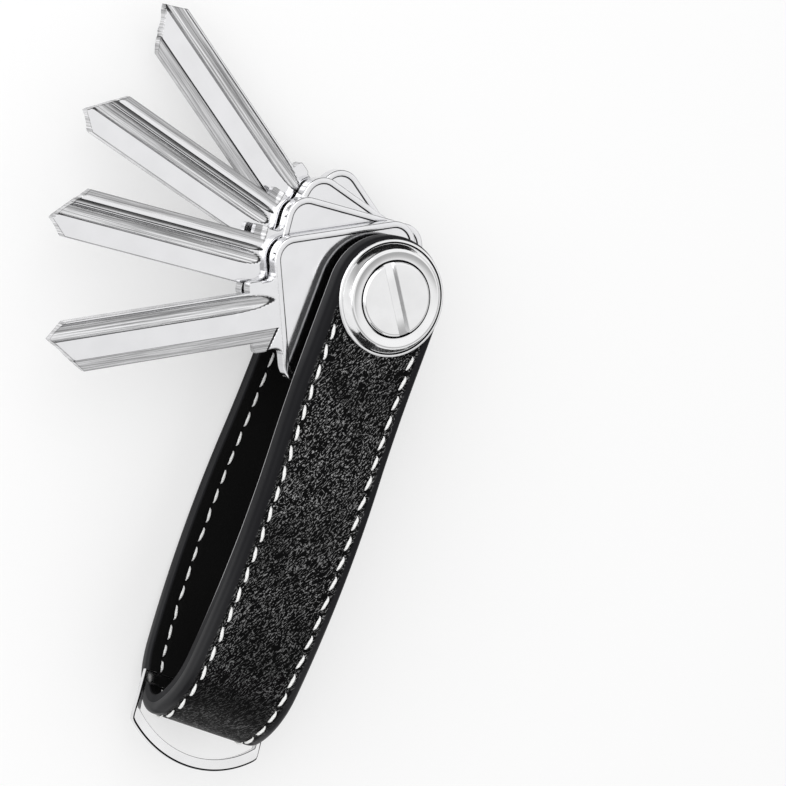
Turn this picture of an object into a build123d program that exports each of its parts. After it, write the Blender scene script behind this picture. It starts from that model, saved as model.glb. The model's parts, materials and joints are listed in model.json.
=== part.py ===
"""Leather key organiser: a folded strap that clamps four flat keys on a coin-slot screw post.

Frame: the origin is the centre of the flat underside of the back cap, on the screw axis.
+Z runs up the post to the slotted screw, and -Y runs along the strap to its fold and ring.
All lengths are in millimetres and all angles in degrees.
"""

import math
import os

from build123d import *

# Strap: a grained outer leather and a lining, bonded, stitched and folded into a teardrop loop.
STRAP_WIDTH = 20.0
OUTER_LEATHER = 1.7
LINING = 1.3
FOLD_REACH = 75.3  # screw axis to the outside of the fold
FOLD_RADIUS = 6.0  # outside of the fold
SHOULDER_RADIUS = 14.0  # outside of the bend that leads from each leg into the fold
SHOULDER_TURN = 55.0  # how far the leg has turned where the fold begins
BELLY = 1.5  # how far each leg bows out beyond its clamped height
BELLY_REACH = 42.0  # screw axis to the widest place of the loop
FLAT_MARGIN = 2.0  # flat leather beyond the flange of the caps
OUTER_EDGE = 0.55  # bevel along the edges, under their painted rounding
LINING_EDGE = 0.3

# Screw, post and the two caps, from the screw's head outwards.
HEAD_RADIUS = 6.0
HEAD_HEIGHT = 1.9
HEAD_EDGE = 0.45
HEAD_GAP = 0.12  # between a head and the wall of its seat
DISH_WIDTH = 2.05  # slope from the seat up to the crest of the bezel
DISH_SAG = 0.03
DISH_LIP = 1.3  # wall of the seat below the slope
DOME_WIDTH = 0.75  # crest of the bezel down to its foot on the flange
DOME_BULGE = 0.3
DISH_CONES = 2
DOME_CONES = 3
FLANGE_WIDTH = 0.55
FLANGE_HEIGHT = 0.6
FLANGE_EDGE = 0.2
CAP_HEIGHT = 2.0
CAP_FLOOR = 0.5  # metal between the leather and the head that sits in the cap
SLOT_WIDTH = 1.9
SLOT_DEPTH = 0.65
SLOT_ANGLE = 127.0  # from +X, as the screw stands
POST_RADIUS = 2.5
POST_SHORTFALL = 0.4  # the post ends this far below the front cap, so the screw can clamp
THREAD_RADIUS = 2.0
THREAD_GAP = 0.05
SCREW_REACH = 10.0  # shank below the head
SCREW_TIP = 0.4
BORE_FLOOR = 1.6  # solid metal between the post's head and its threaded bore
FIT_GAP = 0.08  # leather, washers and caps round the post or the shank

# Key stack, from the lining inwards.
KEY_COUNT = 4
KEY_ANGLES = (208.2, 187.1, 169.3, 149.4)  # direction of each blade, front key first
KEY_TURNED_OVER = (False, True, True, False)
WASHER = 1.4
SEPARATOR = 0.9
RUN_GAP = 0.04  # on each side of every key
RIM_GAP = 0.25  # between the washers and the raised rim of the bow round them
KEY_HOLE_GAP = 0.15  # radial, between a key and the post

# Key blank.
BOW_WIDTH = 24.0
BOW_FRONT = 17.8  # post axis to the edge that the blade leaves
BOW_BACK = 7.7  # post axis to the far edge
BOW_CORNER = 3.8
RIM = 2.3  # thickness of the raised rim
PANEL = 1.9  # thickness inside the rim
RIM_WIDTH = 0.95
NECK_LENGTH = 4.8
NECK_WIDTH = 10.8
NECK_FILLET = 1.3
STOP_LENGTH = 2.4
STOP_HEIGHT = 1.6
BLADE_WIDTH = 8.2
HOLE_OFFSET = 0.5  # middle line of the key to the hole, towards the point
BLADE_THICKNESS = 2.1
KEY_REACH = 57.1  # post axis to the point of the blade
POINT_INSET = 2.4  # blade edge to the point, across the blade
POINT_SHORT_BEVEL = 2.8
POINT_LONG_BEVEL = 5.3

# Milled blade. The ward and the run-outs are measured from the edge nearer the point, the
# step, the bevel and the narrow groove from the other edge.
WARD_INSET = 0.3
WARD_WIDTH = 2.7
WARD_DEPTH = 0.75
WARD_END = 18.9  # post axis to the end of the lens-shaped run-out
WARD_CLIMB = 7.5  # length of that run-out
STEP_WIDTH = 2.0
STEP_DEPTH = 0.45
STEP_END = 17.9
STEP_SLANT = 3.0
BEVEL_WIDTH = 1.3
BEVEL_DEPTH = 0.5
RIB_WIDTH = 0.45  # flat left between the bevel and the narrow groove
NARROW_WIDTH = 0.9
NARROW_DEPTH = 0.35
BACK_WARD_GAP = 0.1
BACK_WARD_WIDTH = 2.3
BACK_WARD_DEPTH = 0.6
BACK_END = 20.4
OVERCUT = 1.0  # how far a cutter runs on past what it cuts

# Ring at the fold.
RING_THICKNESS = 1.1
RING_BAR = 2.0  # width of the bar inside the fold
RING_LEG_TOP = 0.6  # width of a leg at the bar
RING_LEG_FOOT = 0.9  # width of a leg where the bow of the ring begins
RING_BOW = 1.9  # width of the bow
RING_SIDE_GAP = 1.1  # strap edge to a leg
RING_SHOULDER = 2.0  # fold to the corners of the bow
RING_RISE = 4.55
RING_CORNER = 0.5
RING_EDGE = 0.22
RING_TILT = 10.7  # swung up from the line of the strap
PIVOT_FROM_NOSE = 2.3  # pivot to the lining at the nose of the fold
PIVOT_FROM_LEG = 1.25  # pivot to the lining across the fold, on the side of the back leg

# Levels along the post, and sizes that follow from those above.
strap_thickness = OUTER_LEATHER + LINING
layer_pitch = PANEL + SEPARATOR + 2 * RUN_GAP
clamp_gap = 2 * WASHER - SEPARATOR + KEY_COUNT * layer_pitch
back_inner = CAP_HEIGHT + strap_thickness
front_inner = back_inner + clamp_gap
front_outer = front_inner + strap_thickness
loop_middle = (back_inner + front_inner) / 2
clamped_height = front_outer - loop_middle
strap_end = STRAP_WIDTH / 2
seat_radius = HEAD_RADIUS + HEAD_GAP
crest_radius = seat_radius + DISH_WIDTH
dome_radius = crest_radius + DOME_WIDTH
flange_radius = dome_radius + FLANGE_WIDTH
washer_radius = BOW_BACK - RIM_WIDTH - RIM_GAP
blade_edge = BLADE_WIDTH / 2
neck_end = BOW_FRONT + NECK_LENGTH
neck_round = min(
    NECK_FILLET,
    0.95 * (NECK_LENGTH - STOP_LENGTH),
    0.95 * ((BOW_WIDTH - NECK_WIDTH) / 2 - BOW_CORNER),
)
pivot_reach = FOLD_REACH - strap_thickness - PIVOT_FROM_NOSE
pivot_level = loop_middle - (FOLD_RADIUS - strap_thickness - PIVOT_FROM_LEG)
ring_half = strap_end + RING_SIDE_GAP + RING_LEG_FOOT
ring_reach = FOLD_REACH - pivot_reach + RING_SHOULDER

BASE = (Align.CENTER, Align.CENTER, Align.MIN)
TOP = (Align.CENTER, Align.CENTER, Align.MAX)


def leg_arcs():
    """The tangent arcs of one leg's outer skin, each as (reach, height, radius, start, end).

    Reach is measured from the screw axis towards the fold and height from the middle of the
    loop. The angles run from the outward normal of the flat leather towards the fold. The
    flare turns the other way, so its centre lies outside the loop.
    """
    flat_end = flange_radius + FLAT_MARGIN
    turn = math.radians(SHOULDER_TURN)
    nose_reach = FOLD_REACH - FOLD_RADIUS
    step = SHOULDER_RADIUS - FOLD_RADIUS
    shoulder_reach = nose_reach - step * math.sin(turn)
    shoulder_height = -step * math.cos(turn)
    run = shoulder_reach - BELLY_REACH
    rise = clamped_height + BELLY - shoulder_height
    belly_radius = (run**2 + rise**2 - SHOULDER_RADIUS**2) / (2 * (rise - SHOULDER_RADIUS))
    belly_height = clamped_height + BELLY - belly_radius
    belly_turn = math.degrees(math.atan2(run, shoulder_height - belly_height))
    flare_turn = 2 * math.degrees(math.atan2(BELLY, BELLY_REACH - flat_end))
    flare_radius = (BELLY_REACH - flat_end) / math.sin(math.radians(flare_turn)) - belly_radius
    return {
        "flare": (flat_end, clamped_height + flare_radius, flare_radius, 0.0, flare_turn),
        "belly": (BELLY_REACH, belly_height, belly_radius, -flare_turn, belly_turn),
        "shoulder": (shoulder_reach, shoulder_height, SHOULDER_RADIUS, belly_turn, SHOULDER_TURN),
        "nose": (nose_reach, 0.0, FOLD_RADIUS, SHOULDER_TURN, 90.0),
    }


def skin(depth, end):
    """The loop's curve at one depth below its outer skin, open where the strap ends."""
    curves = []
    arcs = leg_arcs()
    for side in (1, -1):
        level = loop_middle + side * (clamped_height - depth)
        reach, height, radius, first, last = arcs["flare"]
        centre = (-reach, loop_middle + side * height)
        curves.append(Line((end, level), (-reach, level)))
        curves.append(CenterArc(centre, radius + depth, -side * 90, -side * (last - first)))
        for name in ("belly", "shoulder", "nose"):
            reach, height, radius, first, last = arcs[name]
            centre = (-reach, loop_middle + side * height)
            curves.append(CenterArc(centre, radius - depth, side * (90 + first), side * (last - first)))
    return [Plane.YZ * curve for curve in curves]


def mouth(end, near, far):
    """The straight lines that close the curves of two depths where the strap ends."""
    lines = [
        Line(
            (end, loop_middle + side * (clamped_height - near)),
            (end, loop_middle + side * (clamped_height - far)),
        )
        for side in (1, -1)
    ]
    return [Plane.YZ * line for line in lines]


def loop_band(near, far):
    """The loop between two depths, swept across the strap's width, with rounded ends."""
    section = make_face(skin(near, strap_end) + skin(far, strap_end) + mouth(strap_end, near, far))
    band = extrude(section, amount=STRAP_WIDTH / 2, both=True)
    reach = FOLD_REACH + OVERCUT
    plan = Circle(strap_end) + Pos(0, -reach / 2) * Rectangle(STRAP_WIDTH, reach)
    return band & extrude(plan, amount=front_outer + CAP_HEIGHT)


def loop_core(depth):
    """Everything inside the loop at one depth, which tells the two skins of a layer apart."""
    end = 2 * strap_end
    top = clamped_height - depth
    across = Plane.YZ * Line((end, loop_middle + top), (end, loop_middle - top))
    section = make_face(skin(depth, end) + [across])
    return extrude(section, amount=STRAP_WIDTH, both=True).solid()


def bevelled_layer(near, far, bevel, outside):
    """One layer of the strap with the long edges of its outer or inner skin bevelled."""
    band = loop_band(near, far)
    core = loop_core((near + far) / 2)
    long_edges = [
        edge
        for edge in band.edges()
        if edge.geom_type != GeomType.LINE or edge.length > 1.01 * (far - near)
    ]
    return chamfer([e for e in long_edges if core.is_inside(e @ 0.5) != outside], bevel)


def post_hole():
    """A cutter for the hole that the post passes through in the leather."""
    return Cylinder(POST_RADIUS + FIT_GAP, front_outer + OVERCUT, align=BASE)


def strap_outer_leather():
    """Grained outer leather."""
    return bevelled_layer(0, OUTER_LEATHER, OUTER_EDGE, True) - post_hole()


def strap_lining():
    """Lining leather, bonded to the inside of the outer one."""
    return bevelled_layer(OUTER_LEATHER, strap_thickness, LINING_EDGE, False) - post_hole()


def circles_at(solid, radius, level):
    """The full circles round the post axis at one radius and level."""
    return [
        edge
        for edge in solid.edges()
        if edge.geom_type == GeomType.CIRCLE
        and abs(edge.radius - radius) < 0.01
        and abs(edge.center().Z - level) < 0.01
    ]


def turned(outline):
    """A solid of revolution round the post from its half section."""
    return revolve(make_face(Plane.XZ * Polyline(*outline, close=True)), Axis.Z)


def bulging(start, end, bulge, cones):
    """Points of a shallow curve between two points of a half section, one per cone."""
    run = end[0] - start[0]
    rise = end[1] - start[1]
    length = math.hypot(run, rise)
    points = []
    for step in range(1, cones):
        share = step / cones
        proud = 4 * bulge * share * (1 - share) / length
        points.append((start[0] + share * run + proud * rise, start[1] + share * rise - proud * run))
    return points


def front_cap():
    """Dished bezel: a flange, a domed ring and a slope down to the seat of the screw's head."""
    bore = THREAD_RADIUS + FIT_GAP
    seat = (seat_radius, CAP_FLOOR + DISH_LIP)
    crest = (crest_radius, CAP_HEIGHT)
    foot = (dome_radius, FLANGE_HEIGHT)
    ring = turned(
        [(bore, 0), (bore, CAP_FLOOR), (seat_radius, CAP_FLOOR), seat]
        + bulging(seat, crest, DISH_SAG, DISH_CONES)
        + [crest]
        + bulging(foot, crest, DOME_BULGE, DOME_CONES)[::-1]
        + [foot, (flange_radius, FLANGE_HEIGHT), (flange_radius, 0)]
    )
    ring = chamfer(circles_at(ring, flange_radius, FLANGE_HEIGHT), FLANGE_EDGE)
    return Pos(0, 0, front_outer) * ring


def back_cap():
    """Back cap: the same flange and dome, cut flat where the organiser rests on it."""
    bore = POST_RADIUS + FIT_GAP
    floor = CAP_HEIGHT - CAP_FLOOR
    foot = (dome_radius, CAP_HEIGHT - FLANGE_HEIGHT)
    rest = (crest_radius, 0)
    ring = turned(
        [(bore, CAP_HEIGHT), (bore, floor), (seat_radius, floor), (seat_radius, 0), rest]
        + bulging(rest, foot, DOME_BULGE, DOME_CONES)
        + [foot, (flange_radius, foot[1]), (flange_radius, CAP_HEIGHT)]
    )
    return chamfer(circles_at(ring, flange_radius, foot[1]), FLANGE_EDGE)


def slotted_screw():
    """Coin-slot screw: a flat head across the front cap and a shank that screws into the post."""
    head = Cylinder(HEAD_RADIUS, HEAD_HEIGHT, align=BASE)
    head = chamfer(circles_at(head, HEAD_RADIUS, HEAD_HEIGHT), HEAD_EDGE)
    slot = Box(2 * (HEAD_RADIUS + OVERCUT), SLOT_WIDTH, SLOT_DEPTH + OVERCUT, align=BASE)
    slot = Pos(0, 0, HEAD_HEIGHT - SLOT_DEPTH) * Rot(0, 0, SLOT_ANGLE) * slot
    shank_radius = THREAD_RADIUS - THREAD_GAP
    shank = Cylinder(shank_radius, SCREW_REACH, align=TOP)
    shank = chamfer(circles_at(shank, shank_radius, -SCREW_REACH), SCREW_TIP)
    return Pos(0, 0, front_outer + CAP_FLOOR) * (head - slot + shank)


def screw_post():
    """Post: a plain head flush with the back cap and a threaded barrel through the stack."""
    head_height = CAP_HEIGHT - CAP_FLOOR
    end = front_outer - POST_SHORTFALL
    floor = head_height + BORE_FLOOR
    head = Cylinder(HEAD_RADIUS, head_height, align=BASE)
    head = chamfer(circles_at(head, HEAD_RADIUS, 0), HEAD_EDGE)
    barrel = Cylinder(POST_RADIUS, end, align=BASE)
    bore = Pos(0, 0, floor) * Cylinder(THREAD_RADIUS, end - floor + OVERCUT, align=BASE)
    return head + barrel - bore


def washer(thickness, level):
    """A flat ring on the post, with its underside at one level."""
    ring = Circle(washer_radius) - Circle(POST_RADIUS + FIT_GAP)
    return Pos(0, 0, level) * extrude(ring, amount=thickness)


def layer_level(index):
    """Middle of one key, counted from the front."""
    return front_inner - WASHER - RUN_GAP - PANEL / 2 - index * layer_pitch


def bow_outline(inset):
    """Plan of the bow, or of the panel inside its rim."""
    length = BOW_FRONT + BOW_BACK - 2 * inset
    corner = BOW_CORNER - inset
    return Pos((BOW_FRONT - BOW_BACK) / 2, 0) * RectangleRounded(length, BOW_WIDTH - 2 * inset, corner)


def corners(plan, reach, half_width):
    """The two corners of a plan at one reach, either side of the blade."""
    return [
        vertex
        for vertex in plan.vertices()
        if abs(vertex.X - reach) < 0.01 and abs(abs(vertex.Y) - half_width) < 0.01
    ]


def key_outline():
    """Plan of a key, blade along +X and its point nearer the -Y edge, hole at the origin."""
    middle = (Align.MIN, Align.CENTER)
    neck = Pos(BOW_FRONT - OVERCUT, 0) * Rectangle(NECK_LENGTH, NECK_WIDTH, align=middle)
    stops = Pos(neck_end - STOP_LENGTH, 0) * Rectangle(
        STOP_LENGTH, BLADE_WIDTH + 2 * STOP_HEIGHT, align=middle
    )
    blade = make_face(
        Polyline(
            (BOW_FRONT, blade_edge),
            (KEY_REACH - POINT_LONG_BEVEL, blade_edge),
            (KEY_REACH, POINT_INSET - blade_edge),
            (KEY_REACH - POINT_SHORT_BEVEL, -blade_edge),
            (BOW_FRONT, -blade_edge),
            close=True,
        )
    )
    plan = bow_outline(0) + neck + stops + blade
    plan = fillet(corners(plan, BOW_FRONT, NECK_WIDTH / 2), neck_round)
    return fillet(corners(plan, neck_end, blade_edge + STOP_HEIGHT), STOP_HEIGHT / 3)


def front_ward():
    """Cutter for the round-bottomed ward in the blade's upper side.

    It runs along the blade and climbs out at the neck, where it ends in a lens shape.
    """
    centre = WARD_INSET + WARD_WIDTH / 2 - blade_edge
    radius = (WARD_WIDTH**2 / 4 + WARD_DEPTH**2) / (2 * WARD_DEPTH)
    level = BLADE_THICKNESS / 2 - WARD_DEPTH + radius
    start = (KEY_REACH + OVERCUT, centre, level)
    turn = (WARD_END + WARD_CLIMB, centre, level)
    above = (WARD_END - WARD_CLIMB, centre, level + 2 * WARD_DEPTH)
    section = Plane(start, z_dir=(-1, 0, 0)) * Circle(radius)
    return sweep(section, path=Polyline(start, turn, above), transition=Transition.RIGHT)


def front_step():
    """Cutter for the low step along the blade's upper side, with a slanted end at the neck."""
    near = blade_edge - STEP_WIDTH
    far = blade_edge + STOP_HEIGHT + OVERCUT
    plan = make_face(
        Polyline(
            (KEY_REACH + OVERCUT, near),
            (STEP_END, near),
            (STEP_END + STEP_SLANT, far),
            (KEY_REACH + OVERCUT, far),
            close=True,
        )
    )
    return Pos(0, 0, BLADE_THICKNESS / 2 - STEP_DEPTH) * extrude(plan, amount=RIM)


def back_groove(near, width, depth):
    """Cutter for a flat groove along the blade's lower side, from one place across it inwards."""
    corner = (BACK_END, near - width, -BLADE_THICKNESS / 2 - OVERCUT)
    return Pos(corner) * Box(KEY_REACH, width, depth + OVERCUT, align=(Align.MIN, Align.MIN, Align.MIN))


def back_bevel():
    """Cutter for the bevel along the lower side, under the front step."""
    low = -BLADE_THICKNESS / 2
    slope = BEVEL_DEPTH / BEVEL_WIDTH
    section = make_face(
        Plane.YZ
        * Polyline(
            (blade_edge - BEVEL_WIDTH, low),
            (blade_edge + OVERCUT, low + slope * (BEVEL_WIDTH + OVERCUT)),
            (blade_edge + OVERCUT, low - OVERCUT),
            (blade_edge - BEVEL_WIDTH, low - OVERCUT),
            close=True,
        )
    )
    return Pos(neck_end, 0, 0) * extrude(section, amount=KEY_REACH)


def key_blank():
    """Uncut pin-tumbler key: a raised rim round sunk panels, and a blade with milled wards."""
    blank = extrude(key_outline(), amount=BLADE_THICKNESS / 2, both=True)
    blank += extrude(bow_outline(0), amount=RIM / 2, both=True)
    panel = bow_outline(RIM_WIDTH)
    for side in (1, -1):
        blank -= Pos(0, 0, side * PANEL / 2) * extrude(panel, amount=side * RIM)
    narrow = blade_edge - BEVEL_WIDTH - RIB_WIDTH
    back_ward = narrow - NARROW_WIDTH - BACK_WARD_GAP
    blank -= front_ward()
    blank -= front_step()
    blank -= back_bevel()
    blank -= back_groove(narrow, NARROW_WIDTH, NARROW_DEPTH)
    blank -= back_groove(back_ward, BACK_WARD_WIDTH, BACK_WARD_DEPTH)
    return Pos(0, HOLE_OFFSET) * blank - Cylinder(POST_RADIUS + KEY_HOLE_GAP, 2 * RIM)


def placed_key(blank, index):
    """A key on its layer of the post. The two middle keys are turned over."""
    facing = Rot(180, 0, 0) * blank if KEY_TURNED_OVER[index] else blank
    return Pos(0, 0, layer_level(index)) * Rot(0, 0, KEY_ANGLES[index]) * facing


def d_ring():
    """Flat D-shaped ring: a straight bar inside the fold, two slim legs and a bowed front."""
    outer_radius = (ring_half**2 + RING_RISE**2) / (2 * RING_RISE)
    inner_radius = outer_radius - RING_BOW
    centre = ring_reach + RING_RISE - outer_radius
    foot = ring_half - RING_LEG_FOOT
    foot_reach = centre + math.sqrt(inner_radius**2 - foot**2)
    top = ring_half - RING_LEG_TOP
    bar = RING_BAR / 2
    outer = make_face(
        Polyline((ring_half, ring_reach), (ring_half, -bar), (-ring_half, -bar), (-ring_half, ring_reach))
        + ThreePointArc((ring_half, ring_reach), (0, ring_reach + RING_RISE), (-ring_half, ring_reach))
    )
    inner = make_face(
        Polyline((foot, foot_reach), (top, bar), (-top, bar), (-foot, foot_reach))
        + ThreePointArc((foot, foot_reach), (0, centre + inner_radius), (-foot, foot_reach))
    )
    outer = fillet([vertex for vertex in outer.vertices() if vertex.Y > 0], RING_CORNER)
    ring = extrude(outer - inner, amount=RING_THICKNESS / 2, both=True)
    faces = ring.faces().sort_by(Axis.Z)
    ring = chamfer(faces[0].outer_wire().edges() + faces[-1].outer_wire().edges(), RING_EDGE)
    return Pos(0, -pivot_reach, pivot_level) * Rot(180 - RING_TILT, 0, 0) * ring


def main():
    """Write one STEP file for each piece."""
    pieces = {
        "strap_outer_leather": strap_outer_leather(),
        "strap_lining": strap_lining(),
        "front_cap": front_cap(),
        "slotted_screw": slotted_screw(),
        "screw_post": screw_post(),
        "back_cap": back_cap(),
        "front_washer": washer(WASHER, front_inner - WASHER),
        "back_washer": washer(WASHER, back_inner),
        "d_ring": d_ring(),
    }
    blank = key_blank()
    for index in range(KEY_COUNT):
        pieces[f"key_{index + 1}"] = placed_key(blank, index)
    for index in range(KEY_COUNT - 1):
        level = layer_level(index) - PANEL / 2 - RUN_GAP - SEPARATOR
        pieces[f"separator_{index + 1}"] = washer(SEPARATOR, level)
    os.makedirs("parts", exist_ok=True)
    for name, shape in pieces.items():
        export_step(shape, f"parts/{name}.step")


main()
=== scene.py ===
"""Leather key organiser: its finished surfaces, materials and stage.

Every piece is a surface of two parameters worked out with numpy in metres, in the frame of the
solid parts: the origin at the centre of the back cap's underside, +Z up the screw axis and -Y
along the strap to its fold and ring.
"""

import json
import math

import bmesh
import bpy
import numpy as np
from mathutils import Matrix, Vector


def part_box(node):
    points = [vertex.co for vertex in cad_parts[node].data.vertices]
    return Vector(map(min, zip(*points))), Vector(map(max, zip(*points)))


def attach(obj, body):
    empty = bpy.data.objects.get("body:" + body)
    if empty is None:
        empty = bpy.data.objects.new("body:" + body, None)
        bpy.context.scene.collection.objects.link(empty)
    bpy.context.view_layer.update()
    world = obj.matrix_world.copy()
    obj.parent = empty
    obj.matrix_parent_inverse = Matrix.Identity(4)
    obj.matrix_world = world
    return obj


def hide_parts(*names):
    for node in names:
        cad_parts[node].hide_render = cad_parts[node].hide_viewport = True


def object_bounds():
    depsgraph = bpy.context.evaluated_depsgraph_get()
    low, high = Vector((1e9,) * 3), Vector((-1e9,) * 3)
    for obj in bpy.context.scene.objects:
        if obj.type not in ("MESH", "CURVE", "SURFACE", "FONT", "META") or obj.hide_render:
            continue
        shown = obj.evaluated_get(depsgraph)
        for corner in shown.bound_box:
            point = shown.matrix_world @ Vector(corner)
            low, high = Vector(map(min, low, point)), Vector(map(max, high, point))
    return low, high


bl_info = {
    "name": "Leather Key Organiser",
    "version": (1, 0, 0),
    "blender": (4, 5, 0),
    "location": "3D View > Sidebar > Key Organiser",
    "description": "Builds a stitched leather key organiser with its keys, screw and ring",
    "category": "Add Mesh",
}

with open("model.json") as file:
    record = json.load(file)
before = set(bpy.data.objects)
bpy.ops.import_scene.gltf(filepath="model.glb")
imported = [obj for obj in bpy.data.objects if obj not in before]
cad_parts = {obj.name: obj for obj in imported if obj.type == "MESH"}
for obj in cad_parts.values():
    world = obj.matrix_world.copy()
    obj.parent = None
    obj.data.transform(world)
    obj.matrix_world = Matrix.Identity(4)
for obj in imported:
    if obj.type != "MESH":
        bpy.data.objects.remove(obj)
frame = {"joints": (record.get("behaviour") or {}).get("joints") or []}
CAD_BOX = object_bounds()
MM = 0.001
MERGE, FINE_MERGE = 0.9e-6, 1e-8  # points of a mesh that are closer become one
MAP_COARSE, MAP_FINE = 10, 100  # units of a map to one metre
JOINTS = {joint["child"]: joint for joint in frame["joints"]}


def length(label, millimetres, description):
    """A size that the panel shows, given in millimetres and kept in metres."""
    return bpy.props.FloatProperty(
        name=label, description=description, default=millimetres * MM, min=0.0, unit="LENGTH",
        precision=5,
    )


def colour(label, shade, description):
    """A colour that the panel shows."""
    return bpy.props.FloatVectorProperty(
        name=label, description=description, default=shade, min=0.0, max=1.0, size=3,
        subtype="COLOR",
    )


def amount(label, value, description):
    """A plain number that the panel shows."""
    return bpy.props.FloatProperty(name=label, description=description, default=value, min=0.0)


def turn(label, degrees, description):
    """An angle that the panel shows, given in degrees and kept in radians."""
    return bpy.props.FloatProperty(
        name=label, description=description, default=math.radians(degrees), subtype="ANGLE"
    )


class StrapSizes(bpy.types.PropertyGroup):
    """Sizes and colours of the folded strap and its stitching."""

    width: length("Width", 20.0, "Across the strap")
    outer: length("Outer leather", 1.7, "Thickness of the grained leather")
    lining: length("Lining", 1.3, "Thickness of the lining")
    fold_reach: length("Fold reach", 75.3, "Screw axis to the outside of the fold")
    fold_radius: length("Fold radius", 6.0, "Outside of the fold")
    shoulder_radius: length("Shoulder radius", 14.0, "Outside of the bend next to the fold")
    shoulder_turn: turn("Shoulder turn", 55.0, "How far a leg has turned where the fold begins")
    belly: length("Belly", 1.5, "How far each leg bows out")
    belly_reach: length("Belly reach", 42.0, "Screw axis to the widest place of the loop")
    flat_reach: length("Flat reach", 11.45, "Screw axis to the end of the clamped flat")
    hole: length("Hole radius", 2.58, "Hole for the post")
    edge_round: length("Edge round", 1.25, "Painted rounding of the outer edge")
    lining_round: length("Lining round", 0.16, "Rounding of the lining's edge")
    stitch_inset: length("Stitch inset", 2.4, "Edge of the strap to the stitches")
    stitch_pitch: length("Stitch pitch", 3.4, "From one stitch to the next")
    stitch_gap: length("Stitch gap", 0.78, "Leather between two stitches")
    thread: length("Thread radius", 0.3, "Radius of the stitching thread")
    grain_turn: turn("Grain turn", 29.0, "Direction of the wrinkles from the strap's length")
    leather_colour: colour("Leather", (0.004, 0.004, 0.0044), "Black leather")
    edge_colour: colour("Painted edge", (0.012, 0.012, 0.0135), "Painted edges of the strap")
    # Painted highlight: a pale colour along the lining's inner corner, standing in for the light it
    # catches.
    corner_highlight_colour: colour("Inner corner", (0.42, 0.42, 0.425), "Rubbed corner of the lining's edge")
    lining_colour: colour("Lining", (0.003, 0.003, 0.003), "Black lining")
    thread_colour: colour("Thread", (0.94, 0.94, 0.93), "White thread")


class ScrewSizes(bpy.types.PropertyGroup):
    """Sizes of the screw, the post, the caps and the washers."""

    flange: length("Flange radius", 9.47, "Rim of the caps")
    flange_height: length("Flange height", 0.6, "Thickness of that rim")
    dome: length("Dome radius", 8.92, "Foot of the domed ring")
    crest: length("Crest radius", 8.17, "Top of the domed ring")
    seat: length("Seat radius", 6.12, "Wall round the screw's head")
    lip: length("Seat lip", 1.3, "Height of that wall above the metal under the head")
    head_edge: length("Head edge", 0.45, "Rounding of the heads' rims")
    cap_height: length("Cap height", 2.0, "Thickness of a cap")
    cap_floor: length("Cap floor", 0.5, "Metal under a head")
    head: length("Head radius", 6.0, "Screw and post heads")
    head_height: length("Head height", 1.9, "Thickness of the screw's head")
    slot_width: length("Slot width", 1.9, "Coin slot across the head")
    slot_depth: length("Slot depth", 0.65, "Depth of that slot")
    slot_angle: turn("Slot angle", 127.0, "Direction of the slot from +X")
    post: length("Post radius", 2.5, "Barrel of the post")
    thread: length("Thread radius", 1.95, "Shank of the screw")
    chrome_colour: colour("Chrome", (0.87, 0.87, 0.875), "Polished chrome")
    # Painted shade: the near-black colour laid in the gaps and creases between the chrome parts,
    # where shade falls.
    seam_shade_colour: colour("Seams", (0.004, 0.004, 0.0045), "Dark seams between the chrome parts")
    washer_colour: colour("Washers", (0.02, 0.02, 0.021), "Black washers")


class KeySizes(bpy.types.PropertyGroup):
    """Sizes and colours of one flat key."""

    bow_width: length("Bow width", 24.0, "Across the bow")
    bow_front: length("Bow front", 17.8, "Post axis to the neck")
    bow_back: length("Bow back", 7.7, "Post axis to the far edge")
    bow_corner: length("Bow corner", 3.8, "Corner radius of the bow")
    rim: length("Rim thickness", 2.3, "Thickness of the raised rim")
    rim_width: length("Rim width", 0.95, "Width of the raised rim")
    panel: length("Panel thickness", 1.9, "Thickness inside the rim")
    neck_end: length("Neck end", 22.6, "Post axis to the start of the blade")
    neck_width: length("Neck width", 10.8, "Across the neck")
    neck_fillet: length("Neck fillet", 1.3, "Fillet between bow and neck")
    stop_length: length("Stop length", 2.4, "Length of the shoulder stops")
    stop_height: length("Stop height", 1.6, "How far the stops stand out")
    blade_width: length("Blade width", 8.2, "Across the blade")
    blade: length("Blade thickness", 2.1, "Thickness of the blade")
    reach: length("Reach", 57.1, "Post axis to the point")
    hole: length("Hole radius", 2.65, "Hole for the post")
    offset: length("Hole offset", 0.5, "Middle line of the key to the hole")
    metal_colour: colour("Metal", (0.82, 0.82, 0.835), "Nickel-plated key")
    milled_colour: colour("Milled metal", (0.7, 0.7, 0.71), "Milled grooves of the blade")


class RingSizes(bpy.types.PropertyGroup):
    """Sizes of the ring in the fold."""

    half_width: length("Half width", 12.0, "Middle of the ring to the outside of a leg")
    reach: length("Leg reach", 7.3, "Pivot to the corners of the bow")
    rise: length("Bow rise", 4.55, "Corners to the middle of the bow")
    bar: length("Bar width", 2.0, "Width of the bar inside the fold")
    bow: length("Bow width", 1.9, "Width of the bow")
    leg_top: length("Leg at the bar", 0.6, "Width of a leg at the bar")
    leg_foot: length("Leg at the bow", 0.9, "Width of a leg at the bow")
    thickness: length("Thickness", 1.1, "Thickness of the flat ring")
    edge: length("Edge", 0.2, "Bevelled edge of the ring")
    tilt: turn("Tilt", 10.7, "How far the ring is swung up")


class StageSettings(bpy.types.PropertyGroup):
    """Floor, lights and camera."""

    floor_colour: colour("Floor", (0.96, 0.96, 0.96), "Pale studio floor")
    floor_glow: amount("Floor glow", 0.45, "Share of the floor that shows plain white")
    key_light: amount("Key light", 1.0, "Strength of the large lamp")
    fill_light: amount("Fill light", 0.735, "Strength of the room's light")
    focal: amount("Focal length", 160.46, "Focal length of the camera in millimetres")


# ---------------------------------------------------------------- mesh making


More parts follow.
